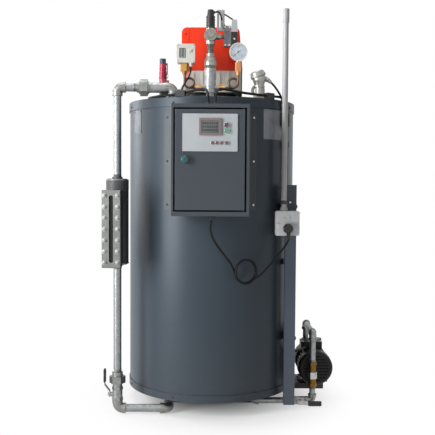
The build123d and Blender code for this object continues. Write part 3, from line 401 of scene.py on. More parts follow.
def addCamera(spec):
    lens = bpy.data.cameras.new("camera")
    lens.lens, lens.sensor_width = spec["lens"], spec["sensor"]
    lens.clip_start, lens.clip_end = spec["clip"]
    cam = bpy.data.objects.new("camera", lens)
    scene.collection.objects.link(cam)
    aim = spun(-spec["right"]) @ spun(90 - spec["down"], "X") @ spun(spec["roll"])
    cam.matrix_world = moved(spec["place"]) @ aim
    scene.camera = cam


def addLamps(specs):
    for name, spec in specs.items():
        light = bpy.data.lights.new(name, "AREA")
        light.shape, light.energy = "RECTANGLE", spec["power"]
        light.size, light.size_y = spec["size"]
        lamp = bpy.data.objects.new(name, light)
        scene.collection.objects.link(lamp)
        lamp.location = spec["place"]
        aim = Vector(spec["aim"]) - Vector(spec["place"])
        lamp.rotation_euler = aim.to_track_quat("-Z", "Y").to_euler()


def seenRays(start):  # what the camera, a mirror or a glass looks at
    rays = start.make("LightPath").plug.node.outputs
    straight, glossy, through = [Wire(start.tree, rays[name]) for name in
                                 ("Is Camera Ray", "Is Glossy Ray", "Is Transmission Ray")]
    return start.sums("MAXIMUM", start.sums("MAXIMUM", straight, glossy), through)


def addBackdrop(spec):
    studio = bpy.data.worlds.new("studio")
    scene.world = studio
    studio.use_nodes = True
    studio.node_tree.nodes.clear()
    start = Wire(studio.node_tree)
    soft = start.make("Background", None, {"Color": (1, 1, 1, 1), "Strength": spec["soft"]})
    white = start.make("Background", None, {"Color": (1, 1, 1, 1), "Strength": 1.0})
    mixed = start.make("MixShader", None, {0: seenRays(start), 1: soft, 2: white})
    start.make("OutputWorld", None, {"Surface": mixed})

    finish, start, place = startFinish("paleFloor")
    away = start.make("VectorMath", {"operation": "LENGTH"}, {0: place}, "Value")
    near, far = spec["shadowReach"]
    reach = {"Value": away, "From Min": near, "From Max": far, "To Min": 0.0, "To Max": 1.0}
    fade = start.make("MapRange", {"interpolation_type": "SMOOTHSTEP"}, reach)
    colour = blended(start, clouds(start, place, spec["grain"]), shade(spec["floor"]), shade(spec["second"]))
    matt = start.make("BsdfDiffuse", None, {"Color": colour})
    bright = start.make("Emission", None, {"Color": (1, 1, 1, 1), "Strength": 1.0})
    mixed = start.make("MixShader", None, {0: fade * seenRays(start), 1: matt, 2: bright})
    start.make("OutputMaterial", None, {"Surface": mixed})
    bm = bmesh.new()
    bmesh.ops.create_grid(bm, x_segments=1, y_segments=1, size=spec["size"] / 2)
    mesh = bpy.data.meshes.new("floor")
    bm.to_mesh(mesh)
    bm.free()
    mesh.materials.append(finish)
    floor = bpy.data.objects.new("floor", mesh)
    scene.collection.objects.link(floor)


addCamera(cameraSpec)
addLamps(lampSpec)
addBackdrop(backdropSpec)
scene.view_settings.view_transform = "Standard"
print("camera, lamps and backdrop ready")


# the mains lead: hangs from the box, loops into a loose coil, and rises to the plug

leadSpec = {
    "diameter": 0.007, "length": 0.974, "slope": 0.48864, "start": -0.385,
    "perMetre": 1000,  # the route, the coil and its depth are in millimetres
    "fall": [(0, 676), (-5, 650), (4, 618), (25, 585), (49, 556), (70, 529), (82, 503)],
    "rise": [(137, 477), (160, 489), (186, 511), (213, 539), (238, 568), (255, 588), (264, 606)],
    "centre": (115.6, 503.6), "coil": 39.0, "turnFrom": 205, "turnTo": 1005, "steps": 34,
    "wide": (2.2, 9.0), "narrow": (1.5, 5.0), "depth": 9.0, "ease": 3, "order": 3, "fineness": 6, "sides": 5,
}


def addMainsLead(spec):
    along = Vector((1, spec["slope"], 0)).normalized()
    forward = along.cross(Vector((0, 0, 1)))
    unit = spec["perMetre"]

    def hung(x, z, out):
        return Vector((x / unit, spec["start"] + spec["slope"] * x / unit, z / unit)) + forward * out / unit

    def coilRadius(share):  # loose turns differ
        (wide, wideBeat), (narrow, narrowBeat) = spec["wide"], spec["narrow"]
        return spec["coil"] + wide * math.sin(share * wideBeat) - narrow * math.cos(share * narrowBeat)

    depth, ease = spec["depth"], spec["ease"]
    last = len(spec["fall"]) - 1
    route = [hung(x, z, -depth * max(0, i - last + ease) / ease) for i, (x, z) in enumerate(spec["fall"])]
    middleX, middleZ = spec["centre"]
    for step in range(spec["steps"] + 1):
        share = step / spec["steps"]
        angle = math.radians(spec["turnFrom"] + share * (spec["turnTo"] - spec["turnFrom"]))
        radius = coilRadius(share)
        sideways = radius * math.cos(angle) * math.sqrt(1 / (1 + spec["slope"] ** 2))
        route.append(hung(middleX + sideways, middleZ + radius * math.sin(angle), depth * (2 * share - 1)))
    route += [hung(x, z, depth * max(0, ease - i) / ease) for i, (x, z) in enumerate(spec["rise"])]
    curve = bpy.data.curves.new("mainsLead", "CURVE")
    curve.dimensions, curve.use_fill_caps = "3D", True
    curve.bevel_depth, curve.bevel_resolution = spec["diameter"] / 2, spec["sides"]
    spline = curve.splines.new("NURBS")
    spline.points.add(len(route) - 1)
    for point, place in zip(spline.points, route):
        point.co = (*place, 1)
    spline.order_u, spline.use_endpoint_u, spline.resolution_u = spec["order"], True, spec["fineness"]
    curve.materials.append(finishes["cable"])
    lead = bpy.data.objects.new("mainsLead", curve)
    scene.collection.objects.link(lead)
    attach(lead, "boiler")
    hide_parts("mains_lead_upper", "mains_lead_coil", "mains_lead_lower")


addMainsLead(leadSpec)
print("mains lead hung")


# mesh making

meshSpec = {
    "weld": 0.00001, "sharp": 38, "bevelSteps": 2, "threadSteps": 32, "washerSteps": 20, "screwSteps": 18,
    "washer": 0.78, "washerLift": 0.22, "boltEdge": 0.05,  # shares of a bolt's width or height
    # a pan head's outline, in shares of its radius
    "screw": [(0, 0), (1, 0), (1, 0.25), (0.82, 0.55), (0.42, 0.64), (0.36, 0.34), (0, 0.34)],
}
toFront = (0, -1, 0)
toBack = (0, 1, 0)
toRight = (1, 0, 0)
toTop = (0, 0, 1)


def mirrored(value):
    return (-value, value)


def facing(way, place, spin=0.0):  # a frame at place whose Z points along way
    turn = Vector(way).to_track_quat("Z", "Y").to_matrix().to_4x4()
    return moved(place) @ turn @ spun(spin)


def onJacket(radius, turn, height):  # a frame on the round body, turn in degrees to the right of the front
    angle = math.radians(turn)
    way = Vector((math.sin(angle), -math.cos(angle), 0.0))
    return facing(way, way * radius + Vector((0, 0, height)))


def onFace(pairs, depth):  # (across, height) pairs on an upright face
    return [(across, depth, height) for across, height in pairs]


def onTop(acrosses, deeps, height):  # every pairing on a level face
    return [(across, deep, height) for across in acrosses for deep in deeps]


def turned(bm, frameAt, profile, steps=24):  # (radius, height) points spun round the frame's Z
    points = [bm.verts.new(frameAt @ Vector((radius, 0.0, height))) for radius, height in profile]
    edges = [bm.edges.new(pair) for pair in zip(points, points[1:])]
    axis = frameAt.to_3x3() @ Vector(toTop)
    bmesh.ops.spin(bm, geom=points + edges, cent=frameAt.translation, axis=axis, angle=2 * math.pi,
                   steps=steps, use_merge=True)


def ringAt(bm, frameAt, radius, bar, steps=28, sides=10):
    angles = [2 * math.pi * side / sides for side in range(sides + 1)]
    turned(bm, frameAt, [(radius + bar * math.cos(a), bar * math.sin(a)) for a in angles], steps)


def threadAt(bm, frameAt, spec):  # cut thread: a saw-tooth profile on a plain sleeve
    crest, root, pitch = spec["crest"], spec["root"], spec["pitch"]
    count = int(spec["length"] / pitch)
    profile = [(spec["sleeve"], 0.0)]
    for tooth in range(count):
        profile += [(root, tooth * pitch), (crest, (tooth + 0.5) * pitch)]
    profile += [(root, count * pitch), (spec["sleeve"], count * pitch), profile[0]]
    turned(bm, frameAt, profile, meshSpec["threadSteps"])


def softened(bm, made, edge):  # rounds the edges of what an operator just made
    rims = list({rim for vert in made["verts"] for rim in vert.link_edges})
    bmesh.ops.bevel(bm, geom=rims, offset=edge, segments=meshSpec["bevelSteps"], profile=0.5, affect="EDGES",
                    material=-1)


def block(bm, frameAt, size, edge=0.0):
    cube = bmesh.ops.create_cube(bm, size=1.0, matrix=frameAt @ Matrix.Diagonal((*size, 1.0)))
    if edge:
        softened(bm, cube, edge)


def blockAt(bm, place, size, edge=0.0):
    block(bm, moved(place), size, edge)


def hexBolt(bm, frameAt, across, height):
    rim, lift = across * meshSpec["washer"], height * meshSpec["washerLift"]
    turned(bm, frameAt, [(0, 0), (rim, 0), (rim, lift), (0, lift)], meshSpec["washerSteps"])
    corner = across / math.sqrt(3)
    raised = frameAt @ moved((0, 0, (height + lift) / 2))
    head = bmesh.ops.create_cone(bm, cap_ends=True, segments=6, radius1=corner, radius2=corner,
                                 depth=height - lift, matrix=raised)
    softened(bm, head, across * meshSpec["boltEdge"])


def bolts(bm, way, places, part):
    for place in places:
        hexBolt(bm, facing(way, place), part["bolt"], part["boltHeight"])


def panScrew(bm, frameAt, radius):
    profile = [(radius * across, radius * up) for across, up in meshSpec["screw"]]
    turned(bm, frameAt, profile, meshSpec["screwSteps"])


def screws(bm, way, places, radius):
    for place in places:
        panScrew(bm, facing(way, place), radius)


def frontScrews(bm, part):
    screws(bm, toFront, onFace(part["at"], part["front"]), part["screw"])


def curvedPlate(bm, radius, turns, heights, thick, columns=12):  # a sheet bent round the body
    grid = bmesh.ops.create_grid(bm, x_segments=columns, y_segments=1, size=0.5)
    for vert in grid["verts"]:
        angle = math.radians(turns[0] + (vert.co.x + 0.5) * (turns[1] - turns[0]))
        height = heights[0] + (vert.co.y + 0.5) * (heights[1] - heights[0])
        vert.co = (radius * math.sin(angle), -radius * math.cos(angle), height)
    faces = list({face for vert in grid["verts"] for face in vert.link_faces})
    raised = bmesh.ops.extrude_face_region(bm, geom=faces)
    for item in raised["geom"]:
        if isinstance(item, bmesh.types.BMVert):
            item.co.x *= (radius + thick) / radius
            item.co.y *= (radius + thick) / radius


def addPiece(name, bm, finishName, body="boiler"):
    bmesh.ops.remove_doubles(bm, verts=bm.verts, dist=meshSpec["weld"])
    bmesh.ops.recalc_face_normals(bm, faces=bm.faces)
    mesh = bpy.data.meshes.new(name)
    bm.to_mesh(mesh)
    bm.free()
    mesh.shade_smooth()
    mesh.set_sharp_from_angle(angle=math.radians(meshSpec["sharp"]))
    mesh.materials.append(finishes[finishName])
    piece = bpy.data.objects.new(name, mesh)
    scene.collection.objects.link(piece)
    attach(piece, body)


# the jacket: screws in lid and skirt, a riveted seam at the back, two bare plates

jacketSpec = {
    "radius": 0.300, "lidRadius": 0.3035, "panRadius": 0.303, "lidScrewZ": 1.062, "panScrewZ": 0.067,
    "screwTurns": range(20, 380, 45), "screw": 0.0042,
    "seamTurns": (150.0, 155.5), "seamZ": (0.082, 1.049), "seamThick": 0.0009,
    "rivetFirst": 0.016, "rivetPitch": 0.069, "rivet": 0.0034,
    "plates": {"ratingPlate": {"turns": (35.6, 54.0), "heights": (0.945, 1.046)},
               "sidePlate": {"turns": (-64.5, -54.6), "heights": (0.966, 1.046)}},
    "plateThick": 0.0008, "fieldThick": 0.0008 / 3, "border": 0.004, "plateScrew": 0.0022,
}


def addJacketDetails(spec):
    bm = bmesh.new()
    for turn in spec["screwTurns"]:
        panScrew(bm, onJacket(spec["lidRadius"], turn, spec["lidScrewZ"]), spec["screw"])
        panScrew(bm, onJacket(spec["panRadius"], turn, spec["panScrewZ"]), spec["screw"])
    curvedPlate(bm, spec["radius"], spec["seamTurns"], spec["seamZ"], spec["seamThick"])
    low, high = spec["seamZ"]
    middle = sum(spec["seamTurns"]) / 2
    for step in range(int((high - low) / spec["rivetPitch"]) + 1):
        height = low + spec["rivetFirst"] + step * spec["rivetPitch"]
        panScrew(bm, onJacket(spec["radius"] + spec["seamThick"], middle, height), spec["rivet"])
    addPiece("jacketScrews", bm, "jacket")
    border = spec["border"]
    margin = math.degrees(border / spec["radius"])
    raised = spec["radius"] + spec["plateThick"]
    for name, plate in spec["plates"].items():
        bm = bmesh.new()
        left, right = plate["turns"]
        low, high = plate["heights"]
        curvedPlate(bm, spec["radius"], (left, right), (low, high), spec["plateThick"])
        for turn in (left + margin, right - margin):
            for height in (low + border, high - border):
                panScrew(bm, onJacket(raised, turn, height), spec["plateScrew"])
        inner = (left + 2 * margin, right - 2 * margin)
        curvedPlate(bm, raised, inner, (low + 2 * border, high - 2 * border), spec["fieldThick"])
        addPiece(name, bm, "plate")


addJacketDetails(jacketSpec)
print("jacket detailed")


# the water column: cover bolts, welds, pipe threads, collar ribs

columnSpec = {
    "place": (-0.319, -0.240, 0.0), "turn": -10.0, "coverFront": -0.072, "middle": 0.6405, "rows": 7,
    "pitch": 0.037, "side": 0.0225, "bolt": 0.0120, "boltHeight": 0.0042, "boltSpin": 11,
    "welds": {"heights": (0.5215, 0.8035), "radius": 0.0372, "bar": 0.0020},
    "ribs": {"heights": [0.7732 + 0.0042 * rib for rib in range(7)], "radius": 0.0378, "bar": 0.0012},
    "ringSteps": 48,
    "threads": {  # place, way and length
        "lowerLeg": ((-0.319, -0.240, 0.146), (0, 0, 1), 0.012),
        "upperLeg": ((-0.253, -0.240, 1.115), (-1, 0, 0), 0.012),
        "columnFoot": ((-0.319, -0.240, 0.511), (0, 0, -1), 0.010),
        "columnHead": ((-0.319, -0.240, 0.814), (0, 0, 1), 0.010),
    },
    "thread": {"crest": 0.0142, "root": 0.0135, "sleeve": 0.0132, "pitch": 0.0018},
}


def addColumnDetails(spec):
    foot = Vector(spec["place"])

    def rings(bm, part):
        for height in part["heights"]:
            at = moved(foot + Vector((0, 0, height)))
            ringAt(bm, at, part["radius"], part["bar"], spec["ringSteps"])

    bm = bmesh.new()
    columnFrame = moved(foot) @ spun(spec["turn"])
    for row in range(spec["rows"]):
        height = spec["middle"] + spec["pitch"] * (row - (spec["rows"] - 1) / 2)
        for side in mirrored(spec["side"]):
            seat = columnFrame @ facing(toFront, (side, spec["coverFront"], height), spec["boltSpin"] * row)
            hexBolt(bm, seat, spec["bolt"], spec["boltHeight"])
    addPiece("coverBolts", bm, "coverBolt")
    bm = bmesh.new()
    rings(bm, spec["welds"])
    for place, way, length in spec["threads"].values():
        threadAt(bm, facing(way, place), {**spec["thread"], "length": length})
    addPiece("columnThreads", bm, "malleable")
    bm = bmesh.new()
    rings(bm, spec["ribs"])
    addPiece("collarRibs", bm, "column")


addColumnDetails(columnSpec)
print("water column detailed")


# the control box: bracket screws, display, bezels, lock insert, gasket and switchgear details

boxSpec = {
    "bracketRadius": 0.303, "bracketX": (-0.149, 0.141), "bracketZ": (0.722, 0.868, 1.014),
    "bracketScrew": 0.0038, "panelY": -0.463,
    "glass": {"place": (-0.005, -0.4662, 0.9685), "size": (0.0538, 0.0008, 0.0388), "edge": 0.0002},
    "segments": {"rows": (0.979, 0.9685, 0.958), "size": (0.0046, 0.0004, 0.0062), "edge": 0.0001,
                 "columns": (-0.026, -0.019, -0.012, -0.005, 0.002, 0.009, 0.016)},
    "bezels": {"buttons": {"at": [(across, 0.919) for across in (0.0026, 0.0165, 0.0308, 0.046)],
                           "radius": 0.0054, "bar": 0.0008},
               "lamps": {"at": [(0.0454, 0.974), (0.0466, 0.956)], "radius": 0.0077, "bar": 0.0010}},
    "lock": {"place": (-0.083, -0.477, 0.868),
             "slot": (0.0012, 0.006, 0.0006), "slotLift": 0.0012, "slotEdge": 0.0002,
             "profile": [(0, 0), (0.0046, 0), (0.0046, 0.0008), (0.0036, 0.0012), (0, 0.0012)]},
    "gasket": {"x": (-0.1135, 0.1035), "y": -0.4553, "z": (0.711, 1.023), "inset": 0.0105,
               "size": (0.007, 0.005), "edge": 0.0015},
}


def addBoxDetails(spec):
    for across in spec["bracketX"]:
        bm = bmesh.new()
        turn = math.degrees(math.asin(across / spec["bracketRadius"]))
        for height in spec["bracketZ"]:
            panScrew(bm, onJacket(spec["bracketRadius"], turn, height), spec["bracketScrew"])
        name = "bracketScrewsLeft" if across < 0 else "bracketScrewsRight"
        addPiece(name, bm, "jacket" if across < 0 else "bolt")
    bm = bmesh.new()
    glass = spec["glass"]
    blockAt(bm, glass["place"], glass["size"], glass["edge"])
    addPiece("displayGlass", bm, "display", "box_door")
    bm = bmesh.new()
    segments = spec["segments"]
    front = glass["place"][1] - glass["size"][1] / 2
    for height in segments["rows"]:
        for across in segments["columns"]:
            blockAt(bm, (across, front, height), segments["size"], segments["edge"])
    addPiece("displaySegments", bm, "segment", "box_door")
    bm = bmesh.new()
    for bezel in spec["bezels"].values():
        for place in onFace(bezel["at"], spec["panelY"] - bezel["bar"]):
            ringAt(bm, facing(toFront, place), bezel["radius"], bezel["bar"])
    addPiece("panelBezels", bm, "chrome", "box_door")
    bm = bmesh.new()
    lock = spec["lock"]
    lockAt = facing(toFront, lock["place"])
    turned(bm, lockAt, lock["profile"])
    addPiece("lockInsert", bm, "teal", "box_door")
    bm = bmesh.new()
    block(bm, lockAt @ moved((0, 0, lock["slotLift"])), lock["slot"], lock["slotEdge"])
    gasket = spec["gasket"]
    inset, edge = gasket["inset"], gasket["edge"]
    left, right = gasket["x"][0] + inset, gasket["x"][1] - inset
    low, high = gasket["z"][0] + inset, gasket["z"][1] - inset
    wide, deep = gasket["size"]
    for across in (left, right):
        blockAt(bm, (across, gasket["y"], (low + high) / 2), (wide, deep, high - low + wide), edge)
    for height in (low, high):
        blockAt(bm, ((left + right) / 2, gasket["y"], height), (right - left - wide, deep, wide), edge)
    addPiece("doorGasket", bm, "gasket", "box_door")


gearSpec = {
    "devices": {
        "breaker": {"poles": (-0.083, -0.065), "middle": 0.944, "front": -0.3763, "lift": 0.033},
        "contactor": {"poles": (-0.030, -0.0155, -0.001), "middle": 0.944, "front": -0.3817, "lift": 0.030},
        "controller": {"poles": [0.031 + 0.0089 * step for step in range(8)], "middle": 0.944,
                       "front": -0.3681, "lift": 0.035},
        "terminals": {"poles": [-0.085 + 0.010 * step for step in range(15)], "middle": 0.812,
                      "front": -0.3572, "lift": 0.0155},
    },
    "screw": 0.0030,
    "toggle": {"y": -0.403, "z": 0.948, "tilt": -20, "size": (0.011, 0.012, 0.019), "edge": 0.0015},
    "key": {"y": -0.406, "z": 0.944, "size": (0.009, 0.003, 0.022), "edge": 0.001},
    "duct": {"x": (-0.098, 0.090), "y": -0.3225, "z": 0.872, "deep": 0.036, "tall": 0.030, "sheet": 0.002,
             "fingers": 22, "fingerShare": 0.55, "fingerThick": 0.0018, "fingerEdge": 0.0003,
             "lidOver": 0.003, "lidEdge": 0.0006, "backEdge": 0.0004},
}


def addSwitchgear(spec):
    devices = spec["devices"]
    bm = bmesh.new()
    for device in devices.values():
        for across in device["poles"]:
            places = [(across, device["front"], device["middle"] + lift) for lift in mirrored(device["lift"])]
            screws(bm, toFront, places, spec["screw"])
    addPiece("terminalScrews", bm, "bolt")
    bm = bmesh.new()
    toggle, key = spec["toggle"], spec["key"]
    for across in devices["breaker"]["poles"]:
        tilted = moved((across, toggle["y"], toggle["z"])) @ spun(toggle["tilt"], "X")
        block(bm, tilted, toggle["size"], toggle["edge"])
    for across in devices["contactor"]["poles"]:
        blockAt(bm, (across, key["y"], key["z"]), key["size"], key["edge"])
    addPiece("breakerToggles", bm, "black")
    bm = bmesh.new()
    duct = spec["duct"]
    low, high = duct["x"]
    face, deep, tall, sheet = duct["y"], duct["deep"], duct["tall"], duct["sheet"]
    step = (high - low) / duct["fingers"]
    finger = (step * duct["fingerShare"], deep, duct["fingerThick"])
    for lift in mirrored(tall / 2):
        for count in range(duct["fingers"]):
            place = (low + (count + 0.5) * step, face - deep / 2, duct["z"] + lift)
            blockAt(bm, place, finger, duct["fingerEdge"])
    middle = (low + high) / 2
    lid = (high - low, sheet, tall + duct["lidOver"])
    blockAt(bm, (middle, face - deep, duct["z"]), lid, duct["lidEdge"])
    blockAt(bm, (middle, face - sheet / 2, duct["z"]), (high - low, sheet, tall), duct["backEdge"])
    addPiece("wiringDuct", bm, "switchGrey")


addBoxDetails(boxSpec)
addSwitchgear(gearSpec)
print("control box detailed")


# instruments: gauge dial, switch scale, knob, pull ring, nipple thread, probe ribs, small screws

dialSpec = {
    "centre": (0.089, -0.217, 1.240), "face": 0.0276, "thick": 0.0005, "steps": 48, "sweep": (225.0, -45.0),
    "marks": 33, "perMark": 0.05, "longEvery": 4, "long": 0.0042, "short": 0.0022, "tickEnd": 0.0240,
    "tick": (0.0005, 0.0003), "lift": 0.0007,
    "numberReach": 0.0172, "numberSize": 0.0052, "numberThick": 0.0001,
    "needle": {"turn": 218.0, "length": 0.0215, "tail": 0.0100, "section": (0.0017, 0.0006), "edge": 0.0002,
               "lift": 0.0018, "hub": [(0, 0.0006), (0.0030, 0.0006), (0.0030, 0.0026), (0, 0.0030)]},
    "glassY": -0.2215,  # the glass has its radii in shares of the face
    "glass": [(0, 0), (1, 0), (1, 0.0008), (0.5, 0.0011), (0, 0.0012)],
}


def addDial(spec):
    upright = moved(spec["centre"]) @ spun(90, "X")
    bm = bmesh.new()
    rim, thick, lift = spec["face"], spec["thick"], spec["lift"]
    profile = [(0, 0.0), (rim, 0.0), (rim, thick), (0, thick)]
    turned(bm, facing(toFront, spec["centre"]), profile, spec["steps"])
    addPiece("dialFace", bm, "dialPale")
    bm = bmesh.new()
    first, last = spec["sweep"]
    for mark in range(spec["marks"]):
        angle = first + (last - first) * mark / (spec["marks"] - 1)
        tall = spec["long"] if mark % spec["longEvery"] == 0 else spec["short"]
        spot = moved((spec["tickEnd"] - tall / 2, 0, lift))
        block(bm, upright @ spun(angle) @ spot, (tall, *spec["tick"]))
        if mark % (2 * spec["longEvery"]) == 0:
            digits = bpy.data.curves.new("dialNumber", "FONT")
            digits.body, digits.size = "%.1f" % (mark * spec["perMark"]), spec["numberSize"]
            digits.align_x, digits.align_y, digits.extrude = "CENTER", "CENTER", spec["numberThick"]
            holder = bpy.data.objects.new("dialNumber", digits)
            reach = spec["numberReach"]
            spot = (reach * math.cos(math.radians(angle)), reach * math.sin(math.radians(angle)), lift)
            shape = bpy.data.meshes.new_from_object(holder)
            shape.transform(upright @ moved(spot))
            bm.from_mesh(shape)
            bpy.data.objects.remove(holder)
    addPiece("dialMarks", bm, "black")
    bm = bmesh.new()
    needle = spec["needle"]
    length, tail = needle["length"], needle["tail"]
    along = moved(((length - tail) / 2, 0, needle["lift"]))
    block(bm, upright @ spun(needle["turn"]) @ along, (length + tail, *needle["section"]), needle["edge"])
    turned(bm, upright, needle["hub"])
    addPiece("dialNeedle", bm, "needleBlue")
    bm = bmesh.new()
    across, deep, height = spec["centre"]
    profile = [(rim * share, out) for share, out in spec["glass"]]
    turned(bm, facing(toFront, (across, spec["glassY"], height)), profile, spec["steps"])
    addPiece("dialGlass", bm, "clearGlass")


instrumentSpec = {
    "window": {"place": (-0.10025, -0.2273, 1.2345), "size": (0.0224, 0.0006, 0.0328), "edge": 0.0001},
    "scale": {"x": (-0.1055, -0.0950), "y": -0.2277, "z": 1.2345, "stem": (0.0010, 0.0004, 0.0290),
              "edge": 0.0001, "marks": 9, "pitch": 0.0033, "longEvery": 4, "long": 0.0050, "short": 0.0032,
              "mark": (0.0004, 0.0006)},
    "transmitter": {"at": ((0.0765, 1.291), (0.0445, 1.270), (0.0595, 1.270), (0.0445, 1.331),
                           (0.0595, 1.331)), "front": -0.183, "screw": 0.0034},
    "switch": {"at": ((-0.115, 1.207), (-0.063, 1.207), (-0.115, 1.260), (-0.063, 1.260)),
               "front": -0.229, "screw": 0.0024},
    "knob": {"place": (-0.073, -0.229, 1.2415),
             "profile": [(0, 0), (0.0055, 0), (0.0055, 0.002), (0.0042, 0.0032), (0, 0.0032)]},
    "pullRing": {"place": (-0.1545, -0.180, 1.163), "way": (1, 0.4, 0), "radius": 0.0075, "bar": 0.0011},
    "nipple": {"at": (-0.006, -0.200, 1.238), "length": 0.030, "crest": 0.0116, "root": 0.0107,
               "sleeve": 0.0104, "pitch": 0.0022},
    "probe": {"place": (0.162, -0.200, 1.152), "lean": -20.0, "ribs": 30, "rim": 0.0260, "lift": 0.0115,
              "rib": (0.0018, 0.0026, 0.0078), "edge": 0.0005},
}


def addInstruments(spec):
    bm = bmesh.new()
    window, scale = spec["window"], spec["scale"]
    blockAt(bm, window["place"], window["size"], window["edge"])
    addPiece("switchScale", bm, "window")
    bm = bmesh.new()
    for across in scale["x"]:
        blockAt(bm, (across, scale["y"], scale["z"]), scale["stem"], scale["edge"])
        for mark in range(scale["marks"]):
            height = scale["z"] + scale["pitch"] * (mark - (scale["marks"] - 1) / 2)
            wide = scale["long"] if mark % scale["longEvery"] == 0 else scale["short"]
            blockAt(bm, (across + wide / 2, scale["y"], height), (wide, *scale["mark"]))
    frontScrews(bm, spec["transmitter"])
    addPiece("scaleMarks", bm, "white")
    bm = bmesh.new()
    frontScrews(bm, spec["switch"])
    turned(bm, facing(toFront, spec["knob"]["place"]), spec["knob"]["profile"])
    pull = spec["pullRing"]
    ringAt(bm, facing(pull["way"], pull["place"]), pull["radius"], pull["bar"])
    addPiece("instrumentScrews", bm, "bolt")
    bm = bmesh.new()
    threadAt(bm, facing(toTop, spec["nipple"]["at"]), spec["nipple"])
    addPiece("nippleThread", bm, "riser")
    bm = bmesh.new()
    probe = spec["probe"]
    leaning = moved(probe["place"]) @ spun(probe["lean"], "Y")
    spot = moved((probe["rim"], 0, probe["lift"]))
    for rib in range(probe["ribs"]):
        block(bm, leaning @ spun(360 * rib / probe["ribs"]) @ spot, probe["rib"], probe["edge"])
    addPiece("probeRibs", bm, "probe")


addDial(dialSpec)
addInstruments(instrumentSpec)
print("instruments detailed")


# the burner: flange bolts, body and hood screws

burnerSpec = {
    "boltX": (-0.101, 0.094), "boltY": 0.081, "flangeTop": 1.094, "bolt": 0.015, "boltHeight": 0.010,
    "screw": 0.0045,
    "body": {"at": ((-0.090, 1.130), (0.094, 1.130), (0.094, 1.182)), "front": -0.105, "back": 0.105},
    "hood": {"at": ((-0.096, 1.206), (-0.020, 1.206), (-0.096, 1.322)), "front": -0.109, "back": 0.117},
}


def addBurnerDetails(spec):
    def bothFaces(bm, part):
        screws(bm, toFront, onFace(part["at"], part["front"]), spec["screw"])
        screws(bm, toBack, onFace(part["at"], part["back"]), spec["screw"])

    bm = bmesh.new()
    bolts(bm, toTop, onTop(spec["boltX"], mirrored(spec["boltY"]), spec["flangeTop"]), spec)
    bothFaces(bm, spec["body"])
    addPiece("burnerScrews", bm, "bolt")
    bm = bmesh.new()
    bothFaces(bm, spec["hood"])
    addPiece("hoodScrews", bm, "hood")


addBurnerDetails(burnerSpec)
print("burner detailed")


# the feed pump, the post and the levers: bolts, screws, threads, socket caps, plug ribs, grips

pumpSpec = {
    "axis": (0.384, 0.122), "headBack": 0.098, "headBolts": 6, "headRing": 0.049,
    "bolt": 0.011, "boltHeight": 0.007, "boltSpin": 17,
    "footZ": 0.063, "footX": (0.338, 0.430), "footY": (-0.012, 0.028),
    "terminalTop": 0.206, "terminalX": (0.345, 0.409), "terminalY": (-0.023, 0.021), "screw": 0.0034,
    "cowlRadius": 0.063, "cowlY": -0.052, "cowlTurns": (30, 150, 270),
    "threads": {"checkTop": ((0.366, -0.135, 0.157), (0, 0, 1)),
                "checkFoot": ((0.366, -0.135, 0.068), (0, 0, -1))},
    "thread": {"crest": 0.0114, "root": 0.0107, "sleeve": 0.0104, "pitch": 0.0018, "length": 0.009},
    "bores": {  # an inside thread has its crests towards the axis
        "suction": {"at": (0.412, 0.065, 0.180), "crest": 0.0080, "root": 0.0089, "sleeve": 0.0092,
                    "pitch": 0.0018, "length": 0.018},
        "steam": {"at": (0.0, 0.215, 1.095), "crest": 0.0138, "root": 0.0147, "sleeve": 0.0150,
                  "pitch": 0.0018, "length": 0.030},
    },
}


def addPumpDetails(spec):
    bm = bmesh.new()
    across, height = spec["axis"]
    for step in range(spec["headBolts"]):
        angle = 2 * math.pi * (step + 0.5) / spec["headBolts"]
        place = (across + spec["headRing"] * math.cos(angle), spec["headBack"],
                 height + spec["headRing"] * math.sin(angle))
        hexBolt(bm, facing(toBack, place, spec["boltSpin"] * step), spec["bolt"], spec["boltHeight"])
    bolts(bm, toTop, onTop(spec["footX"], spec["footY"], spec["footZ"]), spec)
    screws(bm, toTop, onTop(spec["terminalX"], spec["terminalY"], spec["terminalTop"]), spec["screw"])
    for turn in spec["cowlTurns"]:
        way = Vector((math.cos(math.radians(turn)), 0, math.sin(math.radians(turn))))
        seat = Vector((across, spec["cowlY"], height)) + way * spec["cowlRadius"]
        panScrew(bm, facing(way, seat), spec["screw"])
    addPiece("pumpBolts", bm, "bolt")
    bm = bmesh.new()
    for at, way in spec["threads"].values():
        threadAt(bm, facing(way, at), spec["thread"])
    for bore in spec["bores"].values():
        threadAt(bm, facing(toTop, bore["at"]), bore)
    addPiece("feedThreads", bm, "malleable")


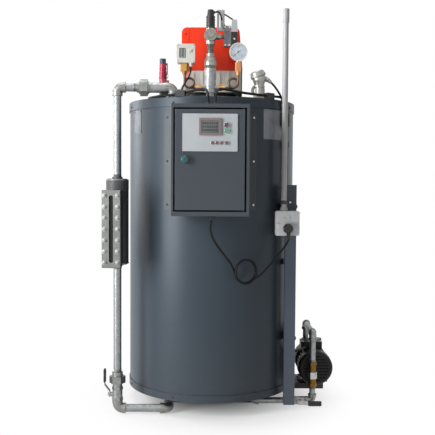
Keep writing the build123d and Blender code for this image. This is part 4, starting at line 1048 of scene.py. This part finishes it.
postSpec = {
    "caps": {"at": ((0.2262, 0.659), (0.2938, 0.659)), "front": -0.243, "screw": 0.0045},
    "stays": {"at": ((0.294, -0.1955, 0.255), (0.294, -0.1955, 0.715)), "bolt": 0.011, "boltHeight": 0.004},
    "clip": {"at": [(0.2715, -0.211, 0.730)], "radius": 0.0038},
    "splice": {"at": ((0.269, -0.178, 1.000), (0.269, -0.178, 1.028)), "radius": 0.0026},
    "clamps": {"at": ((0.195, -0.218, 40.2), (-0.104, -0.275, -14.0)),  # across, deep, turn in degrees
               "top": 1.102, "offset": (0.0105, 0.0062, 0), "radius": 0.0028},
    "plug": {"at": (0.261, -0.243, 0.642), "radius": 0.0165, "ribs": 20, "lift": 0.010,
             "rib": (0.0012, 0.0018, 0.013), "edge": 0.0004},
    "relief": {"ends": ((0.262, -0.256, 0.630), (0.264, -0.256, 0.607)), "rings": 5,
               "radius": (0.0076, 0.0050), "bar": 0.0012},
}


def addPostDetails(spec):
    bm = bmesh.new()
    clamps, plug, relief = spec["clamps"], spec["plug"], spec["relief"]
    frontScrews(bm, spec["caps"])
    addPiece("socketCaps", bm, "socket")
    bm = bmesh.new()
    bolts(bm, toRight, spec["stays"]["at"], spec["stays"])
    addPiece("stayBolts", bm, "post")
    bm = bmesh.new()
    screws(bm, toFront, spec["clip"]["at"], spec["clip"]["radius"])
    screws(bm, toRight, spec["splice"]["at"], spec["splice"]["radius"])
    for across, deep, turn in clamps["at"]:
        seat = moved((across, deep, clamps["top"])) @ spun(turn)
        for sign in mirrored(1):
            panScrew(bm, seat @ moved(sign * Vector(clamps["offset"])), clamps["radius"])
    addPiece("clipScrews", bm, "bolt")
    bm = bmesh.new()
    plugAt = facing(toFront, plug["at"])
    spot = moved((plug["radius"], 0, plug["lift"]))
    for rib in range(plug["ribs"]):
        block(bm, plugAt @ spun(360 * rib / plug["ribs"]) @ spot, plug["rib"], plug["edge"])
    start, end = (Vector(point) for point in relief["ends"])
    first, last = relief["radius"]
    for ring in range(relief["rings"]):
        share = ring / (relief["rings"] - 1)
        ringAt(bm, facing(end - start, start.lerp(end, share)), first + (last - first) * share, relief["bar"])
    addPiece("plugRibs", bm, "black")


gripSpec = {
    "ridges": 5, "edge": 0.0010,
    "levers": {
        "column_lever": {"start": (-0.3625, -0.240, 0.116), "step": (0, 0, 0.008),
                         "size": (0.0086, 0.0186, 0.0028)},
        "feed_lever": {"start": (0.354, -0.1755, 0.017), "step": (0.008, 0, 0),
                       "size": (0.0028, 0.0086, 0.0186)},
    },
}


def addGrips(spec):
    for body, lever in spec["levers"].items():
        bm = bmesh.new()
        for ridge in range(spec["ridges"]):
            place = Vector(lever["start"]) + ridge * Vector(lever["step"])
            blockAt(bm, place, lever["size"], spec["edge"])
        addPiece(body + "Grip", bm, "black", body)


addPumpDetails(pumpSpec)
addPostDetails(postSpec)
addGrips(gripSpec)
print("right side detailed")
